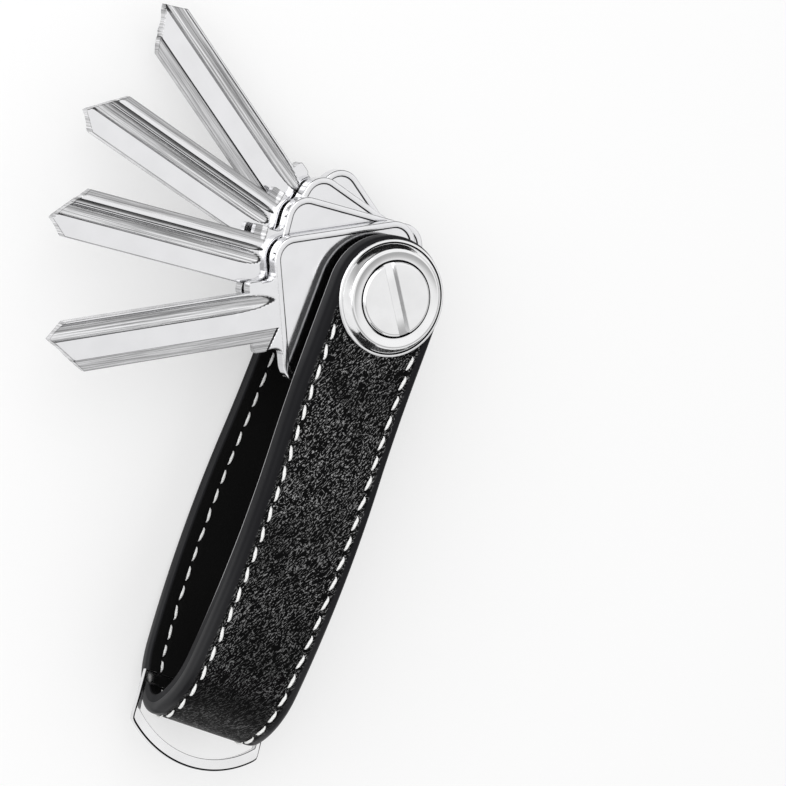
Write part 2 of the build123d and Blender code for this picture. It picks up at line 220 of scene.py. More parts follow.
def add_piece(name, patches, body, nodes, material, crease, join=MERGE):
    """Make one mesh of closed surfaces from patches of points, and finish it.

    A patch is (points, UV map, mask): a grid of places, of map coordinates and of one value
    between 0 and 2. Neighbouring points of a grid are joined by four-sided faces, points that
    meet are merged, and the faces are turned outwards. An open edge is an error. The piece gets
    its material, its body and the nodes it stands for.
    """
    points, maps, masks, corners = [], [], [], []
    start = 0
    for grid, uv, mask in patches:
        rows, columns = grid.shape[:2]
        index = start + np.arange(rows * columns).reshape(rows, columns)
        ring = [index[:-1, :-1], index[:-1, 1:], index[1:, 1:], index[1:, :-1]]
        corners.append(np.stack(ring, axis=-1).reshape(-1, 4))
        points.append(grid.reshape(-1, 3))
        maps.append(np.broadcast_to(uv, (rows, columns, 2)).reshape(-1, 2))
        masks.append(np.broadcast_to(mask, (rows, columns)).reshape(-1))
        start += rows * columns
    points, corners = np.concatenate(points), np.concatenate(corners)
    mesh = bpy.data.meshes.new(name)
    mesh.vertices.add(len(points))
    mesh.vertices.foreach_set("co", points.astype(np.float32).ravel())
    mesh.loops.add(corners.size)
    mesh.loops.foreach_set("vertex_index", corners.astype(np.int32).ravel())
    mesh.polygons.add(len(corners))
    mesh.polygons.foreach_set("loop_start", np.arange(0, corners.size, 4, dtype=np.int32))
    mesh.update(calc_edges=True)
    places = np.concatenate(maps)[corners.ravel()].astype(np.float32)
    mesh.uv_layers.new(name="UVMap").data.foreach_set("uv", places.ravel())
    attribute = mesh.attributes.new("mask", "FLOAT", "POINT")
    attribute.data.foreach_set("value", np.concatenate(masks).astype(np.float32))
    shape = bmesh.new()
    shape.from_mesh(mesh)
    bmesh.ops.remove_doubles(shape, verts=shape.verts, dist=join)
    bmesh.ops.dissolve_degenerate(shape, edges=shape.edges, dist=join)
    bmesh.ops.recalc_face_normals(shape, faces=shape.faces)
    loose = [vertex for vertex in shape.verts if not vertex.link_faces]
    bmesh.ops.delete(shape, geom=loose, context="VERTS")
    opened = sum(len(edge.link_faces) != 2 for edge in shape.edges)
    shape.to_mesh(mesh)
    shape.free()
    if opened:
        raise RuntimeError(f"{name} has {opened} open or doubled edges")
    mesh.shade_smooth()
    mesh.set_sharp_from_angle(angle=math.radians(crease))
    piece = show(bpy.data.objects.new(name, mesh))
    piece.data.materials.append(material)
    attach(piece, body)
    if nodes:
        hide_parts(*nodes)


def show(thing):
    """Put an object in the scene."""
    bpy.context.scene.collection.objects.link(thing)
    return thing


def bend(centre, radius, first, last, count=9):
    """Points of a round bend: centre plus the radius times the cosine and sine of an angle."""
    angle = np.radians(np.linspace(first, last, count))
    return np.array(centre) + radius * np.stack([np.cos(angle), np.sin(angle)], 1)


def arc_between(start, end, bulge, count):
    """Points of a shallow curve: a straight line plus a parabola of the given height."""
    start, end = np.array(start), np.array(end)
    share = np.linspace(0, 1, count)[:, None]
    run = end - start
    side = np.array([run[1], -run[0]]) / np.hypot(*run)
    return start + share * run + 4 * bulge * share * (1 - share) * side


def turned(profile, around, height_by=0.0, fade=None):
    """A profile of (radius, height, mask) carried round the screw axis and lifted.

    x is the radius times the cosine of the turn, y the radius times its sine. The map runs round
    the axis and along the profile. A fade gives the share of the mask kept at each turn.
    """
    parts = [np.atleast_2d(part) for part in profile]
    parts = [np.column_stack([part, np.zeros((len(part), 3 - part.shape[1]))]) for part in parts]
    radius, height, mask = np.concatenate(parts).T
    angle = np.linspace(0, 2 * np.pi, around + 1)[:, None]
    places = (radius * np.cos(angle), radius * np.sin(angle), height + height_by)
    points = np.stack(np.broadcast_arrays(*places), axis=-1)
    along = np.concatenate([[0], np.cumsum(np.hypot(np.diff(radius), np.diff(height)))])
    uv = np.stack(np.broadcast_arrays(angle * radius.max(), along), axis=-1) * MAP_COARSE
    return points, uv, mask * (1.0 if fade is None else fade(angle))


def smooth_step(value):
    """0 below 0, 1 above 1, and a smooth cubic between."""
    value = np.clip(value, 0, 1)
    return value * value * (3 - 2 * value)


def bump_at(distance, width):
    """A smooth bump: one at no distance, falling off as the exponent of minus the square."""
    return np.exp(-((distance / (width * MM)) ** 2))


def rings_of(rows):
    """Rings and their masks from rows of (outline, height, mask), once round each outline."""
    points = [np.column_stack([outline, np.full(len(outline), z)]) for outline, z, _ in rows]
    masks = [np.broadcast_to(mask, len(outline)) for outline, _, mask in rows]
    return np.array(points), np.array(masks)


def both_faces(rows):
    """Rings over one face, and their mirror images back under the other."""
    points, masks = rings_of(rows)
    points = np.concatenate([points, points[-2::-1] * [1, 1, -1]])
    return points, np.concatenate([masks, masks[-2::-1]])


# ---------------------------------------------------------------- strap

END_STEPS = 72  # sections round each end of the strap
SEAM_INSET = 0.008 * MM  # between the two layers, at their edges


def strap_line(strap):
    """The outer skin of the loop as (run, y, z, normal y, normal z), from end to end.

    Straight and tangent circular pieces: a flat clamped end, a flare that bends outwards, a
    wide belly, a tight shoulder and the fold, then the same again backwards. The normal's
    angle is counted from +Z towards -Y.
    """
    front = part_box("front_cap")[0].z
    middle = (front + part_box("back_cap")[1].z) / 2
    clamped = front - middle
    angle = strap.shoulder_turn
    nose = strap.fold_reach - strap.fold_radius
    step = strap.shoulder_radius - strap.fold_radius
    shoulder = (nose - step * math.sin(angle), -step * math.cos(angle))
    run = shoulder[0] - strap.belly_reach
    rise = clamped + strap.belly - shoulder[1]
    belly = (run**2 + rise**2 - strap.shoulder_radius**2) / (2 * (rise - strap.shoulder_radius))
    belly_height = clamped + strap.belly - belly
    belly_turn = math.atan2(run, shoulder[1] - belly_height)
    flare_turn = 2 * math.atan2(strap.belly, strap.belly_reach - strap.flat_reach)
    flare = (strap.belly_reach - strap.flat_reach) / math.sin(flare_turn) - belly
    arcs = (
        (strap.flat_reach, clamped + flare, -flare, 0.0, -flare_turn),
        (strap.belly_reach, belly_height, belly, -flare_turn, belly_turn),
        (shoulder[0], shoulder[1], strap.shoulder_radius, belly_turn, angle),
        (nose, 0.0, strap.fold_radius, angle, math.pi / 2),
    )
    flat = np.linspace(strap.width / 2, -strap.flat_reach, 120)
    places = [np.stack([flat, np.full(120, clamped)], 1)]
    normals = [np.tile([0.0, 1.0], (120, 1))]
    for reach, height, radius, first, last in arcs:
        count = max(30, int(abs(radius * (last - first)) / (0.1 * MM)))
        spread = np.linspace(first, last, count)
        normals.append(np.stack([-np.sin(spread), np.cos(spread)], 1))
        places.append(np.array([-reach, height]) + radius * normals[-1])
    place, normal = np.concatenate(places), np.concatenate(normals)
    place, normal = (np.concatenate([part, part[::-1] * [1, -1]]) for part in (place, normal))
    keep = np.concatenate([[True], np.hypot(*np.diff(place, axis=0).T) > 1e-9])
    place, normal = place[keep], normal[keep]
    along = np.concatenate([[0], np.cumsum(np.hypot(*np.diff(place, axis=0).T))])
    return along, place[:, 0], place[:, 1] + middle, normal[:, 0], normal[:, 1]


def lay(line, run, across, depth):
    """Places on the strap: along its skin, across it and below it."""
    y, z, normal_y, normal_z = (np.interp(run, line[0], part) for part in line[1:])
    places = (across, y - depth * normal_y, z - depth * normal_z)
    return np.stack(np.broadcast_arrays(*places), axis=-1)


def stadium(total, half, side_step):
    """The strap's outline as centres and outward directions, once round.

    A place at one inset is the centre plus (half width - inset) times the direction. Along the
    sides the centre runs and the direction stays, and round the ends it is the other way.
    """
    runs = np.linspace(half, total - half, int((total - 2 * half) / side_step))
    swing = np.linspace(math.pi / 2, -math.pi / 2, END_STEPS)
    zero, one = np.zeros(len(runs)), np.ones(len(runs))
    centre = [runs, np.full(END_STEPS, total - half), runs[::-1], np.full(END_STEPS, half)]
    along = [zero, np.cos(swing), zero, -np.cos(swing)]
    across = [one, np.sin(swing), -one, -np.sin(swing)]
    return runs, np.concatenate(centre), np.concatenate(along), np.concatenate(across)


def stitch_pitch(strap, total):
    """Pitch that fits a whole number of stitches to each side."""
    side = total - strap.width
    return side / round(side / strap.stitch_pitch)


def leather_relief(strap, total, run, across):
    """How far the stitching and the making push the leather in.

    A shallow channel under each row of stitches, a dimple at every hole, and long low waves
    along the strap.
    """
    half = strap.width / 2
    over = np.maximum(0, np.maximum(half - run, run - (total - half)))
    inset = half - np.hypot(across, over)
    pitch = stitch_pitch(strap, total)
    beside = inset - strap.stitch_inset
    channel = 0.10 * MM * bump_at(beside, 0.62)
    to_hole = (np.mod(run - half + pitch / 2, pitch) - pitch / 2) * (over == 0)
    hole = 0.22 * MM * bump_at(beside, 0.34) * bump_at(to_hole, 0.42)
    between = 0.05 * MM * bump_at(beside, 1.1) * np.cos(2 * np.pi * to_hole / pitch)
    waves = np.sin(run / (7.3 * MM) + 1.3) * np.sin(across / (5.1 * MM) + run / (19 * MM))
    waves = waves + 0.6 * np.sin(run / (3.1 * MM) + across / (4.0 * MM))
    fade = smooth_step((inset - 0.4 * MM) / (2.0 * MM))
    return channel + hole + between * fade + 0.02 * MM * fade * (1 + waves / 1.6)


def strap_layer(strap, depths, profile, sign, coarse):
    """Patches of one strap layer between two depths.

    A band carries a profile of (inset, depth, mask) round the stadium outline down to the
    hole's radius, a strip fills the middle between the two holes, and short walls line them.
    The sign is 1 where the relief is on the outside, and -1 where it is on the inside.
    """
    line = strap_line(strap)
    total, half = line[0][-1], strap.width / 2
    runs, centre, along, across = stadium(total, half, coarse)
    faces = []
    for part, level in zip(profile, depths):
        inner = np.linspace(part[-1, 0], half - strap.hole, 34)[1:]
        faces.append(np.concatenate([part, np.stack([inner, 0 * inner + level, 0 * inner], 1)]))
    side = np.repeat([1, -1], [len(face) for face in faces])
    inset, depth, mask = np.concatenate([faces[0][::-1], faces[1]]).T
    run = centre[:, None] + (half - inset) * along[:, None]
    wide = (half - inset) * across[:, None]
    relief = leather_relief(strap, total, run, wide) * (side == sign)
    points = lay(line, run, wide, depth + sign * relief * np.clip(inset / (0.5 * MM), 0, 1))
    # The painted highlight on the lining's inner corner (mask above 1) is kept only along the front
    # leg.
    front = 1 - smooth_step((centre[:, None] - 0.3 * total) / (0.12 * total))
    edge_paint_and_highlight = np.minimum(mask, 1.0) + np.maximum(mask - 1.0, 0.0) * front
    band = (points, np.stack([run, wide], -1) * MAP_COARSE, edge_paint_and_highlight)
    patches = [tuple(np.concatenate([grid, grid[:1]]) for grid in band)]
    width = np.linspace(-strap.hole, strap.hole, 13)[None, :]
    bow = np.sqrt(np.maximum(0, strap.hole**2 - width**2))
    runs = runs[:, None]
    ends = [1 - np.clip(gap / (8 * MM), 0, 1) for gap in (runs - half, total - half - runs)]
    run = runs + bow * (ends[0] - ends[1])
    wide = np.broadcast_to(width, run.shape)
    for level, facing in zip(depths, (1, -1)):
        relief = leather_relief(strap, total, run, wide) * (facing == sign) * sign
        strip = lay(line, run, wide, level + relief)
        patches.append((strip, np.stack([run, wide], -1) * MAP_COARSE, 0.0))
    walls = [np.stack([patches[1][0][row], patches[2][0][row]]) for row in (0, -1)]
    for first in (len(runs), 2 * len(runs) + END_STEPS):
        rows = slice(first, first + END_STEPS)
        walls.append(np.stack([points[rows, 0], points[rows, -1]]))
    return patches + [(wall, 0.0, 0.0) for wall in walls]


def outer_profile(strap):
    """Edge of the grained leather: a wide painted rounding, a straight wall, a faint seam."""
    size = strap.edge_round
    share = np.linspace(0, math.pi / 2, 15)
    inset = size * (1 - np.sin(share) ** 0.8)
    sunk = 0.95 * size * (1 - np.cos(share) ** 0.8)
    painted = smooth_step((1.9 * MM - inset) / (0.5 * MM))
    lead = np.array([[1.75 * MM, 0.0, 0.0], [1.5 * MM, 0.0, 0.6]])
    join = [SEAM_INSET, strap.outer, 1.0]
    wall = np.array([[0.0, 1.5 * MM, 1.0], [0.0, 1.66 * MM, 1.0], join])
    near = np.concatenate([lead, np.column_stack([inset, sunk, painted]), wall])[::-1]
    return near, np.array([join, [0.5 * MM, strap.outer, 0.0]])


def lining_profile(strap):
    """Edge of the lining: a faint seam, a straight painted wall and a crisp inner corner with a
    painted highlight.
    """
    size, outer = strap.lining_round, strap.outer
    far = outer + strap.lining
    join = [SEAM_INSET, outer, 1.0]
    near = np.array([join, [0.5 * MM, outer, 0.0]])
    wall = [join, [0.0, outer + 0.04 * MM, 1.0], [0.0, outer + 0.2 * MM, 1.0]]
    # Mask 2 on the inner corner marks its painted highlight.
    wall += [[0.0, far - 1.9 * size, 1.0], [0.0, far - 1.3 * size, 2.0]]
    corner = bend((size, far - size), size, 180, 90, 8)
    corner = np.column_stack([corner, [2.0] * 6 + [1.6, 1.2]])
    tail = np.array([[size + 0.06 * MM, far, 1.0], [size + 0.2 * MM, far, 0.0]])
    return near, np.concatenate([wall, corner, tail])


class ORGANISER_OT_strap(bpy.types.Operator):
    """Build the grained leather and the lining of the strap."""

    bl_idname = "organiser.strap"
    bl_label = "Strap"

    def execute(self, context):
        """Lay both layers along the loop."""
        strap = context.scene.organiser_strap
        joined, far = strap.outer, strap.outer + strap.lining
        patches = strap_layer(strap, (0.0, joined), outer_profile(strap), 1, 0.34 * MM)
        add_piece("strap_grained_leather", patches, "holder", ["strap_outer_leather"],
                  leather(strap), 60)
        patches = strap_layer(strap, (joined, far), lining_profile(strap), -1, 0.42 * MM)
        add_piece("strap_lining_leather", patches, "holder", ["strap_lining"],
                  lining_leather(strap), 50)
        return {"FINISHED"}


def stitches(strap, starts, ends, lean, depth_at, sign, size_by=1.0):
    """Patches of stitches between pairs of places on the outline's stitch line.

    Each stitch is a bent tube: its middle lies proud of the leather and its ends dive into the
    holes. The radius is widest in the middle and runs out to a point at both ends, and the two
    plies of the thread make it swell and shrink as it turns. starts and ends are
    (centre, along, across) of the outline, and each stitch leans by its own amount.
    """
    line = strap_line(strap)
    share = (0.5 - 0.5 * np.cos(np.linspace(0, math.pi, 12)))[None, :, None]
    angle = np.linspace(0, 2 * np.pi, 9)[None, None, :]
    swing = np.abs(2 * share - 1)
    radius = size_by * strap.thread * np.sqrt(np.maximum(0, 1 - swing**2.6))
    radius = radius * (1 - 0.25 * swing**2) * (1 + 0.07 * np.cos(2 * angle - 15 * share))
    starts, ends = starts[..., None, None], ends[..., None, None]
    centre, along, across = starts * (1 - share) + ends * share
    size = np.hypot(along, across)
    lean = np.sin((share - 0.5) * math.pi) * 0.5 * lean[:, None, None]
    inset = strap.stitch_inset + lean * np.sign(across) + radius * np.cos(angle)
    depth = depth_at + sign * ((-0.12 + 0.5 * swing**5) * MM - 0.7 * radius * np.sin(angle))
    reach = (strap.width / 2 - inset) / size
    points = lay(line, centre + reach * along, reach * across, depth)
    for end in (0, -1):
        points[:, end] = points[:, end].mean(axis=1, keepdims=True)
    uv = np.stack(np.broadcast_arrays(share * 2.4, angle / (2 * np.pi)), -1)[0]
    return [(tube, uv, 0.0) for tube in points]


class ORGANISER_OT_stitching(bpy.types.Operator):
    """Sew both faces of the strap with white thread."""

    bl_idname = "organiser.stitching"
    bl_label = "Stitching"

    def execute(self, context):
        """Place the stitches between their holes: outside in straight rows, inside all round."""
        strap = context.scene.organiser_strap
        total, half = strap_line(strap)[0][-1], strap.width / 2
        pitch, gap = stitch_pitch(strap, total), strap.stitch_gap / 2
        holes = np.arange(half, total - half + 0.1 * MM, pitch)
        random = np.random.default_rng(7)
        material = thread(strap)
        free = 16.3 * MM  # under the caps there are no stitches outside
        shown = holes[(holes > free) & (holes + pitch < total - free)]

        def rows(first, lean, spread):
            """Starts, ends and leans of the stitches along both sides."""
            for side in (1, -1):
                flat = 0 * first
                yield (
                    np.stack([first + gap, flat, flat + side]),
                    np.stack([first + pitch - gap, flat, flat + side]),
                    side * (lean + spread * random.standard_normal(len(first))) * MM,
                )

        def sew(name, found, depth, sign, size_by):
            """Make one piece of all the stitches of a face."""
            starts, ends, leans = (np.concatenate(part, -1) for part in zip(*found))
            patches = stitches(strap, starts, ends, leans, depth, sign, size_by)
            add_piece(name, patches, "holder", [], material, 70, FINE_MERGE)

        sew("stitching_outside", rows(shown, 0.3, 0.1), 0.0, 1, 1.0)
        found = list(rows(holes[:-1], -0.1, -0.14))
        radius = half - strap.stitch_inset
        count = round(math.pi * radius / pitch)
        steps = np.linspace(-math.pi / 2, math.pi / 2, count + 1)
        for centre, facing in ((half, -1), (total - half, 1)):
            ends = [
                np.stack([np.full(count, centre), facing * np.cos(angle), np.sin(angle)])
                for angle in (steps[:-1] + gap / radius, steps[1:] - gap / radius)
            ]
            found.append((*ends, 0.1 * random.standard_normal(count) * MM))
        sew("stitching_inside", found, strap.outer + strap.lining, -1, 0.8)
        return {"FINISHED"}


# ---------------------------------------------------------------- screw, caps and washers

RIM_EDGE = 0.18 * MM  # rounded edge of a flange
FINE_EDGE = 0.05 * MM
DOME_BEND = 0.6 * MM  # radius of a dome's bend, and how far inside the crest it is centred
DOME_CENTRE = 0.53 * MM
# Points of the crease at a dome's foot, which carry painted shade.
CREASE = ((-0.055, 0.07), (0.0, -0.06), (0.07, -0.06), (0.09, -0.01), (0.17, 0.0))
KEYS_AT = math.radians(205)  # direction of the fanned keys from the screw axis


def seam(points):
    """Points of a profile that get the painted shade of a gap or crease."""
    return [(x, z, 2.0) for x, z in points]


def lit_side(angle):
    """How dark the painted shade in the bezel's seam is round the axis: full, but faint on the side
    of the keys, which is the lamp's side.
    """
    away = np.abs(np.mod(angle - KEYS_AT + math.pi, 2 * math.pi) - math.pi)
    return 0.45 + 0.55 * smooth_step((away - math.radians(30)) / math.radians(35))


def cap_rim(screw, level, base, way):
    """Outer part of a cap's half section: a crease with painted shade, flange with a rounded edge,
    far face.

    The way is 1 where the dome stands up from the flange and -1 where it hangs down.
    """
    foot, flange = screw.dome, screw.flange
    return [
        seam([(foot + x * MM, level + way * z * MM) for x, z in CREASE]),
        [(foot + 0.2 * MM, level)],
        bend((flange - RIM_EDGE, level - way * RIM_EDGE), RIM_EDGE, way * 90, 0, 8),
        bend((flange - FINE_EDGE, base + way * FINE_EDGE), FINE_EDGE, 0, -way * 90, 4),
    ]


def front_cap_profile(screw):
    """Half section of the front cap: bore, seat, shallow dish, domed ring, crease and flange."""
    bore, seat = screw.thread + 0.13 * MM, screw.seat
    lip, level = screw.cap_floor + screw.lip, screw.flange_height
    over = bend((screw.crest - DOME_CENTRE, screw.cap_height - DOME_BEND), DOME_BEND, 94, 33, 12)
    foot = (screw.dome - 0.07 * MM, level + 0.1 * MM)
    edge = ((0.0, -0.1), (0.02, -0.04), (0.07, -0.005), (0.19, 0.005))
    dish = (seat + 0.23 * MM, lip + 0.008 * MM)
    return [
        [(bore, 0.0), (bore, screw.cap_floor)],
        # The seat's wall and the floor under the head get painted shade.
        seam([(seat, screw.cap_floor)] + [(seat + x * MM, lip + z * MM) for x, z in edge]),
        arc_between(dish, over[0] - [0.02 * MM, 0.0], 0.04 * MM, 18),
        over,
        arc_between(over[-1] + [0.01 * MM, -0.02 * MM], foot, -0.02 * MM, 16),
        *cap_rim(screw, level, 0.0, 1),
        [(bore, 0.0)],
    ]


def back_cap_profile(screw):
    """Half section of the back cap, from the bore round the seat, rest, dome and flange."""
    bore, seat, high = screw.post + 0.08 * MM, screw.seat, screw.cap_height
    floor, level = high - screw.cap_floor, high - screw.flange_height
    over = bend((screw.crest - DOME_CENTRE, DOME_BEND), DOME_BEND, 270, 327, 12)
    foot = (screw.dome - 0.07 * MM, level - 0.1 * MM)
    return [
        [(bore, high), (bore, floor)],
        # The back cap's seat wall gets painted shade.
        seam([(seat, floor), (seat, 0.1 * MM), (seat + 0.03 * MM, 0.03 * MM)]),
        [(seat + 0.1 * MM, 0.0)],
        over,
        arc_between(over[-1] + [0.01 * MM, 0.02 * MM], foot, 0.02 * MM, 16),
        *cap_rim(screw, level, high, -1),
        [(bore, high)],
    ]


def head_half(screw, half_turn, height_by):
    """One half of the screw's head beside the slot, as rings that shrink inwards.

    The outline is a straight chord along the slot and an arc round the rim. Each ring is that
    outline moved inwards, and the rings climb the wall, round the edge and close on the face.
    The rim has a wide rounding and the slot a fine one.
    """
    edge, fine = screw.head_edge, 0.08 * MM
    low, high = screw.head_height - screw.slot_depth, screw.head_height
    # The foot of the head's rim wall, down in the cap's seat, gets painted shade.
    wall = [(0.0, low, 2.0), (0.0, low + 0.12 * MM, 2.0), (0.0, low + 0.17 * MM, 0.0)]
    climb = np.radians(np.concatenate([np.linspace(6, 78, 13), [83, 87, 90]]))
    rounding = [(edge * (1 - math.cos(a)), high - edge * (1 - math.sin(a)), 0.0) for a in climb]
    face = [(edge + step * MM, high, 0.0) for step in (0.03, 0.1, 0.5, 1.2, 2.0)]
    rows = []
    for inset, height, mask in wall + rounding + face:
        below = min(1.0, (high - height) / fine)
        rounded = fine * (1 - math.sqrt(1 - (1 - below) ** 2))
        chord = screw.slot_width / 2 + (rounded if inset <= edge else fine + inset - edge)
        radius = screw.head - inset
        start = math.degrees(math.asin(chord / radius))
        arc = bend((0.0, 0.0), radius, start, 180 - start, 110)
        straight = np.linspace(arc[-1], arc[0], 40)[1:]
        marks = np.repeat([mask, 0.0], [len(arc), len(straight)])
        rows.append((np.concatenate([arc, straight]), height, marks))
    rings, masks = rings_of(rows)
    ends = [np.broadcast_to(ring.mean(0), (1,) + ring.shape) for ring in (rings[0], rings[-1])]
    rings = np.concatenate([ends[0], rings, ends[1]])
    cos, sin = math.cos(screw.slot_angle + half_turn), math.sin(screw.slot_angle + half_turn)
    rings = rings @ np.array([[cos, sin, 0], [-sin, cos, 0], [0, 0, 1]])
    masks = np.concatenate([masks[:1], masks, masks[-1:]])
    return rings + [0, 0, height_by], rings[..., :2] * MAP_FINE, masks


def screw_base(screw, reach):
    """Half section of the screw below its slot: floor of the slot, rim, underside and shank."""
    low, tip, chamfer = screw.head_height - screw.slot_depth, screw.thread, 0.4 * MM
    rim = screw.head - 0.02 * MM
    return [
        [(0.0, low), (0.5 * screw.head, low), (rim - 0.05 * MM, low)],
        # The screw head's side wall gets painted shade.
        seam([(rim, low - 0.02 * MM), (rim, 0.1 * MM)]),
        bend((screw.head - 0.12 * MM, 0.1 * MM), 0.1 * MM, 0, -90, 4),
        [(tip, 0.0), (tip, -chamfer), (tip, chamfer - reach)],
        [(tip - chamfer, -reach), (0.0, -reach)],
    ]


def post_profile(screw, top):
    """Half section of the post: a flat head with a fine edge, the barrel and its bore."""
    edge, head = screw.head_edge, screw.cap_height - screw.cap_floor
    bore, floor, chamfer = screw.thread + 0.05 * MM, head + 1.6 * MM, 0.1 * MM
    return [
        [(0.0, 0.0), (0.6 * screw.head, 0.0)],
        bend((screw.head - edge, edge), edge, 270, 350, 12),
        # The post head's side wall gets painted shade.
        seam([(screw.head, edge), (screw.head, head)]),
        [(screw.post, head), (screw.post, top - chamfer), (screw.post - chamfer, top)],
        [(bore, top), (bore, floor), (0.0, floor)],
    ]


def washer_profile(screw, name):
    """Half section of a flat ring with rounded edges."""
    (_, _, low), (outer, _, high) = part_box(name)
    inner, edge = screw.post + 0.08 * MM, 0.12 * MM
    return [
        [(inner, low)],
        bend((outer - edge, low + edge), edge, 270, 360, 6),
        bend((outer - edge, high - edge), edge, 0, 90, 6),
        [(inner, high), (inner, low)],
    ]


class ORGANISER_OT_hardware(bpy.types.Operator):
    """Build the caps, the coin-slot screw, the post and the washers."""

    bl_idname = "organiser.hardware"
    bl_label = "Screw and caps"

    def execute(self, context):
        """Turn the round pieces and cut the slot."""
        screw = context.scene.organiser_screw
        metal, plastic = chrome(screw, "cap_chrome_finish"), washer_plastic(screw)
        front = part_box("front_cap")[0].z
        seat = front + screw.cap_floor
        shank = screw_base(screw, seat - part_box("slotted_screw")[0].z)
        head = [turned(shank, 180, seat)]
        head += [head_half(screw, half_turn, seat) for half_turn in (0, math.pi)]
        bezel = turned(front_cap_profile(screw), 220, front, lit_side)
        post = turned(post_profile(screw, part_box("screw_post")[1].z), 160)
        for name, patches, body, node, join in (
            ("bezel_front", [bezel], "holder", "front_cap", MERGE),
            ("bezel_back", [turned(back_cap_profile(screw), 220)], "holder", "back_cap", MERGE),
            ("coin_slot_screw", head, "screw", "slotted_screw", FINE_MERGE),
            ("post_barrel", [post], "holder", "screw_post", MERGE),
        ):
            add_piece(name, patches, body, [node], metal, 30, join)
        for node in ("front_washer", "back_washer", "separator_1", "separator_2", "separator_3"):
            patches = [turned(washer_profile(screw, node), 96)]
            add_piece(f"{node}_ring", patches, "holder", [node], plastic, 40)
        return {"FINISHED"}


# ---------------------------------------------------------------- keys

IN_BOW = 17.2 * MM  # the neck starts inside the bow's rim
POINT_INSET, POINT_SHORT, POINT_LONG = 2.4 * MM, 2.8 * MM, 5.3 * MM
WARD_INSET, WARD_WIDTH, WARD_DEPTH = 0.3 * MM, 2.7 * MM, 0.75 * MM
FRONT_END, WARD_CLIMB = 17.95 * MM, 8.2 * MM
STEP_WIDTH, STEP_DEPTH, STEP_SLANT, STEP_ACROSS = 2.0 * MM, 0.45 * MM, 3.0 * MM, 4.6 * MM
BACK_END, GROOVE_CLIMB = 20.4 * MM, 4.5 * MM
BEVEL_WIDTH, BEVEL_DEPTH, BEVEL_CLIMB = 1.3 * MM, 0.5 * MM, 1.2 * MM
NARROW = (2.2 * MM, 0.9 * MM, 0.35 * MM)  # blade's edge to the groove's middle, width, depth
WIDE = (3.9 * MM, 2.3 * MM, 0.6 * MM)


def rounded_outline(key, inset):
    """The bow's outline moved inwards: four quarter circles joined by straight sides."""
    corner = key.bow_corner - inset
    left, right = -key.bow_back + key.bow_corner, key.bow_front - key.bow_corner
    high = key.bow_width / 2 - key.bow_corner
    corners = ((right, high, 0), (left, high, 90), (left, -high, 180), (right, -high, 270))
    points = [bend((x, y + key.offset), corner, at, at + 90, 15) for x, y, at in corners]
    whole = []
    for part, after in zip(points, points[1:] + points[:1]):
        whole += [part, np.linspace(part[-1], after[0], 26)[1:-1]]
    return np.concatenate(whole + [points[0][:1]])


def key_bow(key):
    """The bow as rings from its outline to the hole, over one face and back under the other.

    The section climbs the stamped edge, crosses the raised rim, drops to the panel and runs in
    to the hole, where each ring is a mix of the outline and a circle.
    """
    edge, rim, panel, step = 0.3 * MM, key.rim / 2, key.panel / 2, key.rim_width
    section = [(0.0, 0.0, 0.2), (0.0, rim - edge - 0.1 * MM, 0.2)]
    for angle in np.linspace(0, math.pi / 2, 8):
        cos, sin = math.cos(angle), math.sin(angle)
        section.append((edge * (1 - cos), rim - edge * (1 - sin), 0.2 * cos))
    # The rim's inner foot carries painted shade: mask near 2 turns it almost black.
    lines = (
        (-0.12, rim, 0.0), (-0.06, rim - 0.01 * MM, 0.4), (0.0, rim - 0.07 * MM, 1.9),
        (0.04, panel + 0.03 * MM, 2.0), (0.12, panel, 1.9), (0.2, panel, 0.0), (0.4, panel, 0.0),
    )
    section += [(step + beside * MM, height, mask) for beside, height, mask in lines]
    rows = [(rounded_outline(key, inset), height, mask) for inset, height, mask in section]
    start = rows[-1][0]
    angle = np.arctan2(start[:, 1], start[:, 0])
    circle = key.hole * np.stack([np.cos(angle), np.sin(angle)], 1)
    wider = circle * (1 + 0.15 * MM / key.hole)
    rows += [(start * (1 - share) + wider * share, panel, 0.0) for share in (0.3, 0.6, 0.86)]
    rows += [(circle, panel - 0.1 * MM, 0.0), (circle, 0.0, 0.9)]
    return both_faces(rows)


def blade_limits(key, x):
    """Half the neck's width and the blade's two edges at each place along the key.

    The neck widens by a quarter circle where it meets the bow. The point is cut by two bevels,
    each a straight change of the edge along the last few millimetres.
    """
    half, fillet = key.blade_width / 2, key.neck_fillet
    dip = np.clip(key.bow_front + fillet - x, 0, fillet)
    neck = key.neck_width / 2 + fillet - np.sqrt(fillet**2 - dip**2)
    short, long = (np.clip((x - key.reach) / run + 1, 0, 1) for run in (POINT_SHORT, POINT_LONG))
    return neck, -half + short * POINT_INSET, half - long * (2 * half - POINT_INSET)


def groove(x, y, centre, width, deep, floor, end):
    """Depth of a round-bottomed groove: a circle through its edges, lifted by its floor's climb."""
    radius = (width**2 / 4 + deep**2) / (2 * deep)
    cut = np.sqrt(np.maximum(0, radius**2 - (y - centre) ** 2)) - (radius - deep * floor)
    return np.where(x > end, np.maximum(0, cut), 0)


def wards_front(key, x, y):
    """Depth of the milling on the front: a round-bottomed ward and a low slanted-end step.

    The ward's floor climbs out towards the neck by a power of the way, so that its end is a
    pointed lens. The step is a flat drop beyond one line, cut off by a slanting one.
    """
    half = key.blade_width / 2
    floor = (1 - (1 - np.clip((x - FRONT_END) / WARD_CLIMB, 0, 1)) ** 2) ** 1.5
    centre = -half + WARD_INSET + WARD_WIDTH / 2
    ward = groove(x, y, centre, WARD_WIDTH, WARD_DEPTH, floor, FRONT_END)
    near = half - STEP_WIDTH
    slant = near + (x - FRONT_END) / STEP_SLANT * STEP_ACROSS
    drop = smooth_step((y - near) / (0.14 * MM)) * smooth_step((slant - y) / (0.4 * MM))
    return ward, STEP_DEPTH * np.where(slant > near, drop, 0)


